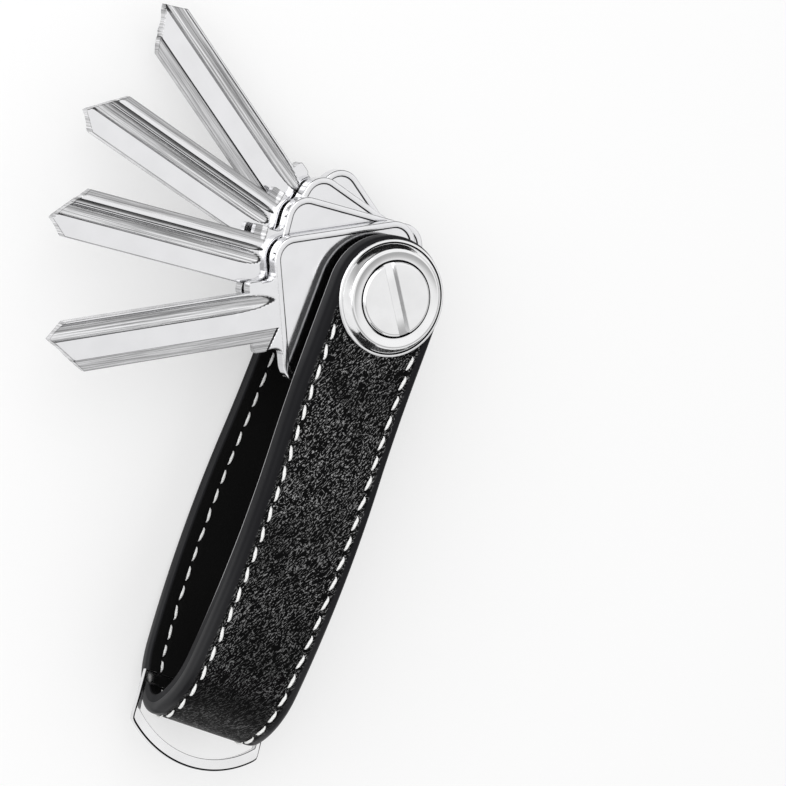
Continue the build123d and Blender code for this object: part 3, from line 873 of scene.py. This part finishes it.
def wards_back(key, x, y):
    """Depth of the milling on the back: a narrow groove beside a wider one, and an edge bevel."""
    half = key.blade_width / 2
    bevel = np.clip((y - (half - BEVEL_WIDTH)) / BEVEL_WIDTH, 0, 1) * BEVEL_DEPTH
    floor = 1 - (1 - np.clip((x - BACK_END) / GROOVE_CLIMB, 0, 1)) ** 2
    narrow, wide = (
        groove(x, y, half - at, width, deep, floor, BACK_END) for at, width, deep in (NARROW, WIDE)
    )
    return np.maximum(narrow, wide), bevel * smooth_step((x - BACK_END) / BEVEL_CLIMB)


def blade_columns(key):
    """Places along the neck and blade, closer together where its outline or its cuts change."""
    neck, dense, point = key.neck_end, key.neck_end + 4 * MM, key.reach - POINT_LONG
    parts = [
        np.linspace(IN_BOW, neck - key.stop_length, 34),
        np.linspace(neck - key.stop_length, neck, 26),
        np.linspace(neck, dense, 26),
        np.linspace(dense, point, 70)[1:],
        np.linspace(point, key.reach, 54)[1:],
    ]
    return np.concatenate(parts), np.repeat(range(5), [len(part) for part in parts])


def blade_lines(half):
    """Lines along the front and the back of the blade, dense across the cuts and their edges."""
    sweep, swing = (np.sin(np.linspace(-math.pi / 2, math.pi / 2, count)) for count in (21, 15))
    ward = -half + WARD_INSET + WARD_WIDTH / 2 * (1 + sweep)
    near = half - STEP_WIDTH
    step = near + np.concatenate([[-0.1, 0.0, 0.04, 0.08], np.linspace(0.14, 3.6, 32)]) * MM
    front = [ward[:1] - 0.03 * MM, ward, [-0.6 * MM, 0.5 * MM], step]
    back = [np.array([-4.6, -3.4, -2.3, -1.3, -1.0]) * MM]
    back += [half - at + width / 2 * swing for at, width, _ in (WIDE, NARROW)]
    back += [half - np.array([1.72, 1.32, 1.28, 0.9, 0.5, -0.2, -0.8]) * MM]
    return np.concatenate(front), np.concatenate(back)


def key_blade(key):
    """Neck and blade as sections along the key, closed at both ends.

    A section runs over the front face and back under the other. Its lines lie on the edges of
    the cuts, are clipped to the outline, and sink by the depth of the cuts there. The mask is
    0 on the flats, up to 1 in the cuts and above 1 on lines of painted shade along the edges,
    the step, the narrow groove, the bevel and the walls of the cuts.
    """
    x, zone = blade_columns(key)
    half = key.blade_width / 2
    neck, low, high = blade_limits(key, x)
    stop, size = half + key.stop_height, 0.5 * MM
    corner = np.minimum(x - (key.neck_end - key.stop_length), key.neck_end - x)
    rounded = stop - size * (1 - np.sqrt(1 - (1 - np.clip(corner / size, 0, 1)) ** 2))
    rounded = np.where(x < key.neck_end - size, np.maximum(rounded, neck), rounded)
    low = np.where(zone == 0, -neck, np.where(zone == 1, -rounded, low))
    high = np.where(zone == 0, neck, np.where(zone == 1, rounded, high))
    slopes = np.ones((2, len(x)))
    for here in (zone == part for part in range(5)):
        for slope, line in zip(slopes, (low, high)):
            slope[here] = np.clip(np.hypot(1, np.gradient(line[here], x[here])), 1, 5)
    slope_low, slope_high = slopes[..., None]
    x, low, high = x[:, None], low[:, None], high[:, None]
    edge, middle = 0.22 * MM, (low + high) / 2
    bevels = np.array([0.0, 0.03, 0.08, 0.15, 0.22, 0.27]) * MM
    lower = np.minimum(low + bevels * slope_low, middle)
    upper = np.maximum(high - bevels[::-1] * slope_high, middle)
    front, back = blade_lines(half)
    faces = []
    for lines, cuts, side in ((front, wards_front, 1), (back, wards_back, -1)):
        inside = np.clip(lines[None, :], lower[:, -1:], upper[:, :1])
        y = np.concatenate([lower, inside, upper], axis=1)
        from_edge = np.minimum((y - low) / slope_low, (high - y) / slope_high)
        round_off = edge - np.sqrt(np.maximum(0, edge**2 - np.clip(edge - from_edge, 0, edge) ** 2))
        first, second = cuts(key, x, y)
        deep = np.maximum(np.maximum(first, second), 0)
        height = side * (key.blade / 2 - np.maximum(deep, 0.7 * round_off))
        # Values above 1 are painted shade: a line just inside the edges, the step, the narrow
        # groove, the bevel and the cut walls.
        shades = [smooth_step(deep / (0.03 * MM)), 0.85 * (from_edge < 0.02 * MM),
                  1.7 * bump_at(from_edge - 0.09 * MM, 0.05)]
        if side > 0:
            shades.append(1.28 * smooth_step(second / (0.1 * MM)))
            walls = ((first, 0.09, 0.09), (second, 0.3, 0.12))
        else:
            beside = y - (half - NARROW[0])
            narrow = smooth_step(first / (0.02 * MM)) * (np.abs(beside) < 0.46 * MM)
            shades.append((1.3 + 0.35 * (beside > 0)) * narrow)
            shades.append(1.4 * smooth_step(second / (0.05 * MM)))
            walls = ((first, 0.09, 0.09), (second, 0.02, 0.03))
        mask = np.maximum.reduce(shades)
        for cut, deepest, soft in walls:
            line = smooth_step(cut / (0.03 * MM))
            line = line * (1 - smooth_step((cut - deepest * MM) / (soft * MM)))
            mask = mask + line * (mask < 1.5) * 0.95
        faces.append(np.stack([y, height, mask]))
    front, back = faces
    y, z, mask = np.concatenate([front, back[..., ::-1], front[..., :1]], axis=-1)
    points = np.stack(np.broadcast_arrays(x, y + key.offset, z), axis=-1)
    start = np.broadcast_to([x[0, 0], key.offset, 0.0], points[:1].shape)
    return np.concatenate([start, points]), np.concatenate([mask[:1], mask])


class ORGANISER_OT_keys(bpy.types.Operator):
    """Build the four flat keys on the post."""

    bl_idname = "organiser.keys"
    bl_label = "Keys"

    def execute(self, context):
        """Place the keys in their layers. The two middle ones are turned over."""
        key = context.scene.organiser_keys
        parts = (key_bow(key), key_blade(key))
        metal = key_metal(key)
        for node, flip in (("key_1", 1), ("key_2", -1), ("key_3", -1), ("key_4", 1)):
            low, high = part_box(node)
            level = np.array([0, 0, (low.z + high.z) / 2])
            heading = math.radians(270) + math.radians(JOINTS[node]["range_deg"][0])
            cos, sin = math.cos(heading), math.sin(heading)
            spin = np.array([[cos, sin, 0], [-sin * flip, cos * flip, 0], [0, 0, flip]])
            patches = [
                (points @ spin + level, points[..., :2] * MAP_FINE, mask) for points, mask in parts
            ]
            add_piece(f"{node}_blank", patches, node, [node], metal, 32, 1e-7)
        return {"FINISHED"}


# ---------------------------------------------------------------- ring


def ring_outline(bar, foot, radius, centre):
    """One outline of the ring, once round: the bar, a leg, the bowed front and the other leg.

    The bow is a circle of the given radius and centre. bar and foot are the ends of a leg.
    """
    swing = math.asin(foot[0] / radius) * np.linspace(-1, 1, 61)
    bow = np.stack([radius * np.sin(swing), centre + radius * np.cos(swing)], 1)
    left_bar, left_foot = bar * [-1, 1], foot * [-1, 1]
    sides = [np.linspace(bar, left_bar, 25)[:-1], np.linspace(left_bar, left_foot, 15)[:-1]]
    return np.concatenate(sides + [bow[:-1], np.linspace(foot, bar, 15)])


def ring_loops(ring):
    """Outer and inner outline of the ring, point for point.

    The outer bow is a circle through its two corners and its crown, and the inner one shares
    its centre. The corners are rounded by pulling near points inwards.
    """
    half, rise = ring.half_width, ring.rise
    radius = (half**2 + rise**2) / (2 * rise)
    inner_radius, centre = radius - ring.bow, ring.reach + rise - radius
    corner = np.array([half, ring.reach])
    outer = ring_outline(np.array([half, -ring.bar / 2]), corner, radius, centre)
    for side in (-1, 1):
        away = np.hypot(*(outer - corner * [side, 1]).T)
        outer = outer + 0.11 * MM * bump_at(away, 0.4)[:, None] * [-0.8 * side, -0.6]
    foot = half - ring.leg_foot
    foot = np.array([foot, centre + math.sqrt(inner_radius**2 - foot**2)])
    top = np.array([half - ring.leg_top, ring.bar / 2])
    return outer, ring_outline(top, foot, inner_radius, centre)


class ORGANISER_OT_ring(bpy.types.Operator):
    """Build the flat ring that hangs in the fold."""

    bl_idname = "organiser.ring"
    bl_label = "Ring"

    def execute(self, context):
        """Carry the flat section round the two outlines and swing the ring into place."""
        ring = context.scene.organiser_ring
        outer, inner = ring_loops(ring)
        width = np.hypot(*(inner - outer).T)[:, None]
        across = (inner - outer) / width
        edge, tall, fine = ring.edge, ring.thickness / 2, 0.07 * MM
        # Mask 2 on the outer bevel and at the inner edge paints dark lines of shade along the
        # ring's edges.
        near_outer = (
            (0.0, 0.0, 0.0), (0.0, tall - edge, 0.8), (0.35 * edge, tall - 0.3 * edge, 2.0),
            (edge, tall, 2.0), (edge + 0.1 * MM, tall, 2.0), (edge + 0.15 * MM, tall, 0.0),
        )
        near_inner = (
            (fine + 0.03 * MM, tall, 0.0), (fine, tall, 1.7),
            (0.3 * fine, tall - 0.3 * fine, 2.0), (0.0, tall - fine, 1.7), (0.0, 0.0, 0.0),
        )
        rows = [(outer + inset * across, z, mask) for inset, z, mask in near_outer]
        rows += [(outer + (width - inset) * across, z, mask) for inset, z, mask in near_inner]
        points, masks = both_faces(rows)
        angle = math.pi - ring.tilt
        cos, sin = math.cos(angle), math.sin(angle)
        swing = np.array([[1, 0, 0], [0, cos, sin], [0, -sin, cos]])
        placed = points @ swing + np.array(JOINTS["ring"]["pos_m"])
        metal = chrome(context.scene.organiser_screw, "ring_chrome_finish", 0.93)
        patches = [(placed, points[..., :2] * MAP_FINE, masks)]
        add_piece("fold_ring", patches, "ring", ["d_ring"], metal, 25)
        return {"FINISHED"}


# ---------------------------------------------------------------- materials


class Signal:
    """A node's output worked on like a number: each step puts one more node in its tree."""

    def __init__(self, socket):
        """Hold the output and the tree it is in."""
        self.socket, self.tree = socket, socket.id_data

    def step(self, operation, other=0.5, clamp=False):
        """One step of arithmetic."""
        return node_out(self.tree, "ShaderNodeMath", {0: self, 1: other}, operation=operation,
                        use_clamp=clamp)

    def __add__(self, other):
        """The sum."""
        return self.step("ADD", other)

    def __mul__(self, other):
        """The product."""
        return self.step("MULTIPLY", other)

    def rest(self):
        """What is left of one, and nothing below 0."""
        return (self * -1.0).step("ADD", 1.0, clamp=True)

    def distance(self, other):
        """How far it is from another value."""
        return self.step("SUBTRACT", other).step("ABSOLUTE")

    def fade(self, low, high, start=0.0, end=1.0):
        """A smooth change from start to end as the value goes from low to high."""
        limits = {"From Min": low, "From Max": high, "To Min": start, "To Max": end}
        return node_out(self.tree, "ShaderNodeMapRange", {"Value": self, **limits},
                        interpolation_type="SMOOTHSTEP")

    def mix(self, first, second):
        """A blend of two colours by this share."""
        return node_out(self.tree, "ShaderNodeMix", {0: self, 6: first, 7: second}, 2,
                        data_type="RGBA")


def feed(node, inputs):
    """Give a node its inputs. Each is a value or another node's output."""
    for name, value in inputs.items():
        if isinstance(value, Signal):
            node.id_data.links.new(value.socket, node.inputs[name])
        else:
            node.inputs[name].default_value = value


def put(tree, kind, inputs=None, **settings):
    """A node with its settings and inputs."""
    node = tree.nodes.new(kind)
    for name, value in settings.items():
        setattr(node, name, value)
    feed(node, inputs or {})
    return node


def node_out(tree, kind, inputs=None, output=0, **settings):
    """One output of a new node."""
    return Signal(put(tree, kind, inputs, **settings).outputs[output])


def noise(tree, vector, scale, detail=2.0, roughness=0.5, output=0):
    """A cloudy pattern."""
    inputs = {"Vector": vector, "Scale": scale, "Detail": detail, "Roughness": roughness}
    return node_out(tree, "ShaderNodeTexNoise", inputs, output)


def vector_step(tree, operation, first, second):
    """One step of arithmetic on vectors."""
    inputs = {0: first, "Scale" if operation == "SCALE" else 1: second}
    return node_out(tree, "ShaderNodeVectorMath", inputs, operation=operation)


def mapped(tree, vector, scale=(1, 1, 1), angle=0.0, shift=(0, 0, 0)):
    """A pattern's coordinates, turned and scaled."""
    inputs = {"Vector": vector, "Scale": scale, "Rotation": (0, 0, angle), "Location": shift}
    return node_out(tree, "ShaderNodeMapping", inputs)


def bump(tree, height, strength, distance):
    """A surface's normal bent by a pattern, the distance in millimetres."""
    inputs = {"Height": height, "Strength": strength, "Distance": distance * MM}
    return node_out(tree, "ShaderNodeBump", inputs)


def piece_inputs(tree):
    """A piece's own map and its mask."""
    return (node_out(tree, "ShaderNodeUVMap", uv_map="UVMap"),
            node_out(tree, "ShaderNodeAttribute", output="Fac", attribute_name="mask"))


def object_place(tree):
    """The place on the object, in metres."""
    return node_out(tree, "ShaderNodeTexCoord", output="Object")


def solid(shade, by=1.0):
    """A colour as four numbers, lighter or darker."""
    return tuple(part * by for part in shade) + (1.0,)


def new_group(name, inputs, outputs):
    """An empty shader node group with named sockets. An input without a value is a vector."""
    group = bpy.data.node_groups.new(name, "ShaderNodeTree")
    for label, value in inputs.items():
        kind = "NodeSocketVector" if value is None else "NodeSocketFloat"
        socket = group.interface.new_socket(label, in_out="INPUT", socket_type=kind)
        if value is not None:
            socket.default_value = value
    for label in outputs:
        group.interface.new_socket(label, in_out="OUTPUT", socket_type="NodeSocketFloat")
    start, end = group.nodes.new("NodeGroupInput"), group.nodes.new("NodeGroupOutput")
    return group, [Signal(start.outputs[label]) for label in inputs], end


def wrinkle_group():
    """Fine wrinkled grain: short raised strokes whose direction wanders, broken by pebbles."""
    group, (where, size, stretch), end = new_group(
        "wrinkled grain", {"Vector": None, "Size": 1.0, "Stretch": 0.3}, ("Height", "Valley")
    )
    drift = noise(group, where, 8.0, 1.0, output="Color")
    push = vector_step(group, "SUBTRACT", drift, (0.5, 0.5, 0.5))
    moved = vector_step(group, "ADD", where, vector_step(group, "SCALE", push, 0.014))
    long = node_out(group, "ShaderNodeCombineXYZ", {0: stretch, 1: 1.0, 2: 1.0})
    pulled = vector_step(group, "MULTIPLY", vector_step(group, "SCALE", moved, size), long)
    pebbles = noise(group, moved, 330.0, 2.0, 0.6)
    strokes = noise(group, pulled, 150.0, 1.0).distance(0.5).fade(0.0, 0.085, 1.0, 0.0)
    ridge = strokes * pebbles.fade(0.38, 0.56)
    feed(end, {"Height": pebbles * 0.4 + ridge, "Valley": ridge})
    return group


def fine_wear_group():
    """Hairline scratches and cloudy smears: streaks of noise over two scales."""
    group, (where, streaks), end = new_group(
        "hairlines and smears", {"Vector": None, "Streaks": 60.0}, ("Scratch", "Smear")
    )
    lines = noise(group, mapped(group, where, (0.012, 1.0, 1.0)), streaks, 4.0, 0.7)
    feed(end, {"Scratch": lines, "Smear": noise(group, where, 2.2, 3.0)})
    return group


def pattern(tree, name, maker, inputs):
    """The outputs of a node group, which is built once and used by several materials."""
    group = bpy.data.node_groups.get(name) or maker()
    node = put(tree, "ShaderNodeGroup", inputs, node_tree=group)
    return [Signal(socket) for socket in node.outputs]


def wear(tree, vector, streaks):
    """Hairlines and smears over a map."""
    inputs = {"Vector": vector, "Streaks": streaks}
    return pattern(tree, "hairlines and smears", fine_wear_group, inputs)


def new_material(name):
    """An empty material with a Principled shader, its tree and that shader."""
    material = bpy.data.materials.new(name)
    material.use_nodes = True
    tree = material.node_tree
    tree.nodes.clear()
    shader = tree.nodes.new("ShaderNodeBsdfPrincipled")
    output = tree.nodes.new("ShaderNodeOutputMaterial")
    tree.links.new(shader.outputs[0], output.inputs[0])
    return material, tree, shader


def leather(strap):
    """Grained black leather: wrinkles that catch the light, duller where the strap bends, and
    smooth painted edges."""
    material, tree, shader = new_material("grained_leather_finish")
    uv, painted = piece_inputs(tree)
    inputs = {"Vector": mapped(tree, uv, angle=strap.grain_turn), "Size": 1.75, "Stretch": 0.3}
    height, stroke = pattern(tree, "wrinkled grain", wrinkle_group, inputs)
    bare = painted.rest()
    fold = strap_line(strap)[0][-1] / 2 * MAP_COARSE
    from_fold = node_out(tree, "ShaderNodeSeparateXYZ", {"Vector": uv}).distance(fold)
    straight = from_fold.fade(0.05, 0.17)
    cloud = noise(tree, uv, 9.0, 4.0)
    worn = cloud.fade(0.35, 0.7)
    shade = strap.leather_colour
    top = stroke.mix(solid(shade, 0.4), worn.mix(solid(shade, 0.8), solid(shade, 1.4)))
    crest = stroke.fade(0.22, 1.0) * bare * cloud.fade(0.33, 0.6, 0.5, 1.0)
    crest = crest * (straight * 0.65 + 0.35)
    shine = (crest * 0.7 + (straight * -0.1 + 0.15)) * bare
    rough = (stroke.fade(0.0, 1.0, 0.5, 0.27) + worn * 0.06) * bare
    feed(shader, {
        "Base Color": painted.mix(top, solid(strap.edge_colour)),
        "Specular IOR Level": shine + painted * from_fold.fade(0.08, 0.42, 0.3, 0.05),
        "Coat Weight": crest,
        "Coat IOR": 3.4,
        "Coat Roughness": 0.25,
        "Roughness": rough + cloud.fade(0.3, 0.7, 0.36, 0.46) * painted,
        "Normal": bump(tree, height * bare, 1.0, 0.12),
    })
    return material


def lining_leather(strap):
    """Matt black lining with a close nap, painted edges and a painted highlight on the inner
    corner.
    """
    material, tree, shader = new_material("lining_leather_finish")
    uv, marked = piece_inputs(tree)
    painted = marked.step("MINIMUM", 1.0)
    nap = noise(tree, uv, 420.0, 4.0, 0.7)
    shade = strap.lining_colour
    ground = nap.fade(0.4, 0.75).mix(solid(shade), solid(shade, 2.2))
    # Mask above 1 mixes in the painted highlight of the inner corner.
    edge = marked.fade(1.0, 1.9).mix(solid(strap.edge_colour), solid(strap.corner_highlight_colour))
    feed(shader, {
        "Base Color": painted.mix(ground, edge),
        "Roughness": painted * -0.36 + noise(tree, uv, 12.0, 3.0).fade(0.3, 0.7, 0.68, 0.8),
        "Specular IOR Level": 0.07,
        "Normal": bump(tree, nap * painted.rest(), 0.6, 0.06),
    })
    return material


def thread(strap):
    """White two-ply thread: slanting plies with painted shade in the creases between them."""
    material, tree, shader = new_material("thread_finish")
    uv, _ = piece_inputs(tree)
    parts = put(tree, "ShaderNodeSeparateXYZ", {"Vector": uv}).outputs
    along, around = Signal(parts[0]), Signal(parts[1])
    ply = ((along * 2.6 + around) * (2 * math.pi)).step("SINE")
    shade = strap.thread_colour
    feed(shader, {
        # The creases between the plies are painted darker as shade.
        "Base Color": ply.fade(-1.0, -0.2).mix(solid(shade, 0.86), solid(shade)),
        "Roughness": noise(tree, uv, 30.0).fade(0.3, 0.7, 0.6, 0.8),
        "Sheen Weight": 0.4,
        "Normal": bump(tree, ply, 0.5, 0.06),
    })
    return material


def chrome(screw, name, by=1.0):
    """Polished chrome with the faintest hairlines and smears, and painted black shade in its seams
    and gaps.
    """
    material, tree, shader = new_material(name)
    scratch, smear = wear(tree, mapped(tree, object_place(tree), (100, 100, 100)), 30.0)
    # Mask values above 1 mark the seams, where the colour is painted shade.
    dark = piece_inputs(tree)[1].fade(1.0, 1.9)
    shade = screw.chrome_colour
    tint = smear.fade(0.3, 0.7).mix(solid(shade, 0.96 * by), solid(shade, 1.03 * by))
    feed(shader, {
        "Base Color": dark.mix(tint, solid(screw.seam_shade_colour)),
        "Metallic": 1.0,
        "Roughness": scratch * 0.04 + dark * 0.5 + smear.fade(0.3, 0.75, 0.07, 0.12),
        "Normal": bump(tree, scratch, 0.08, 0.02),
    })
    return material


def key_metal(key):
    """Nickel-plated key: bright flats, darker milled cuts streaked along the blade, and painted
    shade: a thin painted shadow inside the stamped rim and dark lines along the cuts."""
    material, tree, shader = new_material("key_nickel_finish")
    uv, marked = piece_inputs(tree)
    milled = marked.step("MINIMUM", 1.0)
    scratch, smear = wear(tree, uv, 34.0)
    cut, _ = wear(tree, mapped(tree, uv, shift=(3.1, 5.7, 0)), 42.0)
    metal, dull = key.metal_colour, key.milled_colour
    flat = smear.fade(0.3, 0.7).mix(solid(metal, 0.97), solid(metal, 1.02))
    tint = milled.mix(flat, cut.fade(0.34, 0.66).mix(solid(dull, 0.46), solid(dull, 1.3)))
    feed(shader, {
        # Mask values above 1 turn the colour near black: painted shade inside the rim and along the
        # cuts.
        "Base Color": marked.fade(1.05, 1.9).mix(tint, solid(metal, 0.05)),
        "Metallic": 1.0,
        "Roughness": milled * 0.14 + smear.fade(0.3, 0.75, 0.08, 0.13),
        "Normal": bump(tree, cut * milled + scratch * 0.04, 0.4, 0.05),
    })
    return material


def washer_plastic(screw):
    """Matt black plastic with a fine moulded grain."""
    material, tree, shader = new_material("washer_plastic_finish")
    grain = noise(tree, object_place(tree), 3000.0)
    shade = screw.washer_colour
    feed(shader, {
        "Base Color": grain.mix(solid(shade, 0.8), solid(shade, 1.3)),
        "Roughness": grain.fade(0.3, 0.7, 0.5, 0.62),
        "Normal": bump(tree, grain, 0.2, 0.03),
    })
    return material


# ---------------------------------------------------------------- stage

LAMP_PLACE, LAMP_TARGET = (-0.62, 0.12, 0.62), (0.0, -0.03, 0.0)
LAMP_SIZE, LAMP_POWER = (1.2, 0.9), 4.8
CAMERA_PLACE, CAMERA_AHEAD = (-0.2712, -0.0451, 0.5090), (0.4942, 0.0555, -0.8676)
CAMERA_RIGHT = (0.8052, 0.3470, 0.4808)
ROOM_TILT = (0.0, 0.64, 0.77)
ROOM_STOPS = ((0.0, 0.85), (0.34, 1.0), (0.5, 0.86), (0.7, 0.42), (0.78, 0.54), (0.85, 0.92),
              (0.91, 1.02), (1.0, 1.0))  # share of the way across the room, brightness
CARDS = (  # name, direction in degrees, how far its two edges are, width, their heights
    ("dark_card_far", 105, (0.062, 0.062), 0.118, (0.0, 0.027)),
    ("dark_card_foot", 105, (0.042, 0.062), 0.1, (0.0002, 0.0002)),
    ("dark_card_near", 278, (0.115, 0.115), 0.07, (0.024, 0.085)),
)


def seen(path, kinds=("Camera", "Glossy", "Transmission")):
    """1 where the eye or a mirror sees a thing, and 0 where it only lights others."""
    rays = [Signal(path.outputs[f"Is {kind} Ray"]) for kind in kinds]
    return rays[0].step("MAXIMUM", rays[1]).step("MAXIMUM", rays[2])


def matt(name, scale, dark, light):
    """A material of one pale or dark cloudy colour without any shine."""
    material, tree, shader = new_material(name)
    tint = noise(tree, object_place(tree), scale).mix(dark, light)
    feed(shader, {"Base Color": tint, "Roughness": 0.9, "Specular IOR Level": 0.0})
    return material, tree, shader


def sheet(name, corners, material):
    """A flat four-sided piece of the stage."""
    mesh = bpy.data.meshes.new(name)
    mesh.from_pydata([tuple(corner) for corner in corners], [], [(0, 1, 2, 3)])
    mesh.materials.append(material)
    return show(bpy.data.objects.new(name, mesh))


def aim(thing, place, ahead, right):
    """Stand a lamp or camera at a place, facing ahead, with its right side near a direction."""
    ahead = np.array(ahead) / np.linalg.norm(ahead)
    right = right - ahead * (right @ ahead)
    right = right / np.linalg.norm(right)
    axes = np.column_stack([right, np.cross(right, ahead), -ahead, place])
    thing.matrix_world = Matrix(np.vstack([axes, [0, 0, 0, 1]]).tolist())


class ORGANISER_OT_stage(bpy.types.Operator):
    """Set up the floor, the lights and the camera."""

    bl_idname = "organiser.stage"
    bl_label = "Stage"

    def execute(self, context):
        """Lay the floor, light the room, hang the lamp, stand the cards and aim the camera."""
        settings = context.scene.organiser_stage
        self.floor(settings)
        self.room(context, settings)
        self.lamp(settings)
        self.cards()
        self.camera(context, settings)
        context.scene.view_settings.view_transform = "Standard"
        return {"FINISHED"}

    def floor(self, settings):
        """A wide pale sheet under the organiser, part of it plain white."""
        shade = settings.floor_colour
        material, tree, shader = matt("studio_floor_finish", 3.0, solid(shade, 0.998), solid(shade))
        share = seen(put(tree, "ShaderNodeLightPath")) * settings.floor_glow
        glow = node_out(tree, "ShaderNodeEmission", {"Color": (1, 1, 1, 1), "Strength": 1.0})
        inputs = {0: share, 1: Signal(shader.outputs[0]), 2: glow}
        blend = node_out(tree, "ShaderNodeMixShader", inputs)
        feed(tree.nodes["Material Output"], {0: blend})
        low, size = CAD_BOX[0][2], 1.5
        corners = [(x * size, y * size, low) for x, y in ((-1, -1), (1, -1), (1, 1), (-1, 1))]
        floor = sheet("studio_floor", corners, material)

    def room(self, context, settings):
        """Even light from all round. The camera sees it white, and mirrors see it shaded.

        In mirrors the room is white overhead, has a grey band on the far side, and is white
        again behind the keys, which draws the soft bands in the polished metal.
        """
        world = bpy.data.worlds.new("studio_room")
        context.scene.world = world
        world.use_nodes = True
        tree = world.node_tree
        tree.nodes.clear()
        path = put(tree, "ShaderNodeLightPath")
        ahead = node_out(tree, "ShaderNodeTexCoord", output="Generated")
        lean = put(tree, "ShaderNodeVectorMath", {0: ahead, 1: ROOM_TILT}, operation="DOT_PRODUCT")
        share = Signal(lean.outputs["Value"]) * 0.5 + 0.5
        ramp = put(tree, "ShaderNodeValToRGB", {"Fac": share})
        elements = ramp.color_ramp.elements
        for index, (position, level) in enumerate(ROOM_STOPS):
            stop = elements[index] if index < 2 else elements.new(position)
            stop.position, stop.color = position, (level, level, level, 1.0)
        mirrored = Signal(path.outputs["Is Glossy Ray"])
        shade = mirrored.mix((1, 1, 1, 1), Signal(ramp.outputs["Color"]))
        strength = seen(path) * (1.0 - settings.fill_light) + settings.fill_light
        inputs = {"Color": shade, "Strength": strength}
        back = node_out(tree, "ShaderNodeBackground", inputs)
        put(tree, "ShaderNodeOutputWorld", {0: back})

    def lamp(self, settings):
        """One large soft lamp, high on the side of the keys."""
        data = bpy.data.lights.new("studio_lamp", "AREA")
        data.shape, data.energy = "RECTANGLE", LAMP_POWER * settings.key_light
        data.size, data.size_y = LAMP_SIZE
        ahead = np.subtract(LAMP_TARGET, LAMP_PLACE)
        lamp = show(bpy.data.objects.new("studio_lamp", data))
        aim(lamp, LAMP_PLACE, ahead, np.cross(ahead, [0, 0, 1]))

    def cards(self):
        """Dark cards beside the set that draw the black lines in the chrome."""
        material, _, _ = matt("dark_card_finish", 5.0, solid([0.01] * 3), solid([0.016] * 3))
        for name, degrees, (near, far), wide, (low, high) in CARDS:
            cos, sin = math.cos(math.radians(degrees)), math.sin(math.radians(degrees))
            edges = ((-1, near, low), (1, near, low), (1, far, high), (-1, far, high))
            corners = [
                (away * cos + side * sin * wide / 2, away * sin - side * cos * wide / 2, height)
                for side, away, height in edges
            ]
            card = sheet(name, corners, material)
            card.visible_camera = card.visible_diffuse = card.visible_shadow = False

    def camera(self, context, settings):
        """A long lens, above and beside the strap, turned so that the strap leans to the right."""
        data = bpy.data.cameras.new("studio_camera")
        data.lens, data.sensor_width = settings.focal, 36.0
        data.clip_start, data.clip_end = 0.02, 10.0
        camera = show(bpy.data.objects.new("studio_camera", data))
        aim(camera, CAMERA_PLACE, CAMERA_AHEAD, np.array(CAMERA_RIGHT))
        context.scene.camera = camera


class ORGANISER_PT_panel(bpy.types.Panel):
    """Sizes, colours and makers of the key organiser."""

    bl_label = "Key Organiser"
    bl_idname = "ORGANISER_PT_panel"
    bl_space_type = "VIEW_3D"
    bl_region_type = "UI"
    bl_category = "Key Organiser"

    def draw(self, context):
        """List each piece's settings above its button."""
        for group, _, step in GROUPS:
            box = self.layout.box()
            settings = getattr(context.scene, group)
            for name in settings.__annotations__:
                box.prop(settings, name)
            box.operator(step)
        self.layout.operator("organiser.stitching")


GROUPS = (
    ("organiser_strap", StrapSizes, "organiser.strap"),
    ("organiser_screw", ScrewSizes, "organiser.hardware"),
    ("organiser_keys", KeySizes, "organiser.keys"),
    ("organiser_ring", RingSizes, "organiser.ring"),
    ("organiser_stage", StageSettings, "organiser.stage"),
)
CLASSES = (
    ORGANISER_OT_strap,
    ORGANISER_OT_stitching,
    ORGANISER_OT_hardware,
    ORGANISER_OT_keys,
    ORGANISER_OT_ring,
    ORGANISER_OT_stage,
    ORGANISER_PT_panel,
)


def register():
    """Add the settings, the makers and the panel."""
    for name, group, _ in GROUPS:
        bpy.utils.register_class(group)
        setattr(bpy.types.Scene, name, bpy.props.PointerProperty(type=group))
    for entry in CLASSES:
        bpy.utils.register_class(entry)


def unregister():
    """Take the panel, the makers and the settings away again."""
    for entry in reversed(CLASSES):
        bpy.utils.unregister_class(entry)
    for name, group, _ in reversed(GROUPS):
        delattr(bpy.types.Scene, name)
        bpy.utils.unregister_class(group)


def main():
    """Make every piece and the stage."""
    register()
    bpy.ops.organiser.strap()
    bpy.ops.organiser.stitching()
    bpy.ops.organiser.hardware()
    bpy.ops.organiser.keys()
    bpy.ops.organiser.ring()
    bpy.ops.organiser.stage()


if __name__ == "__main__":
    main()
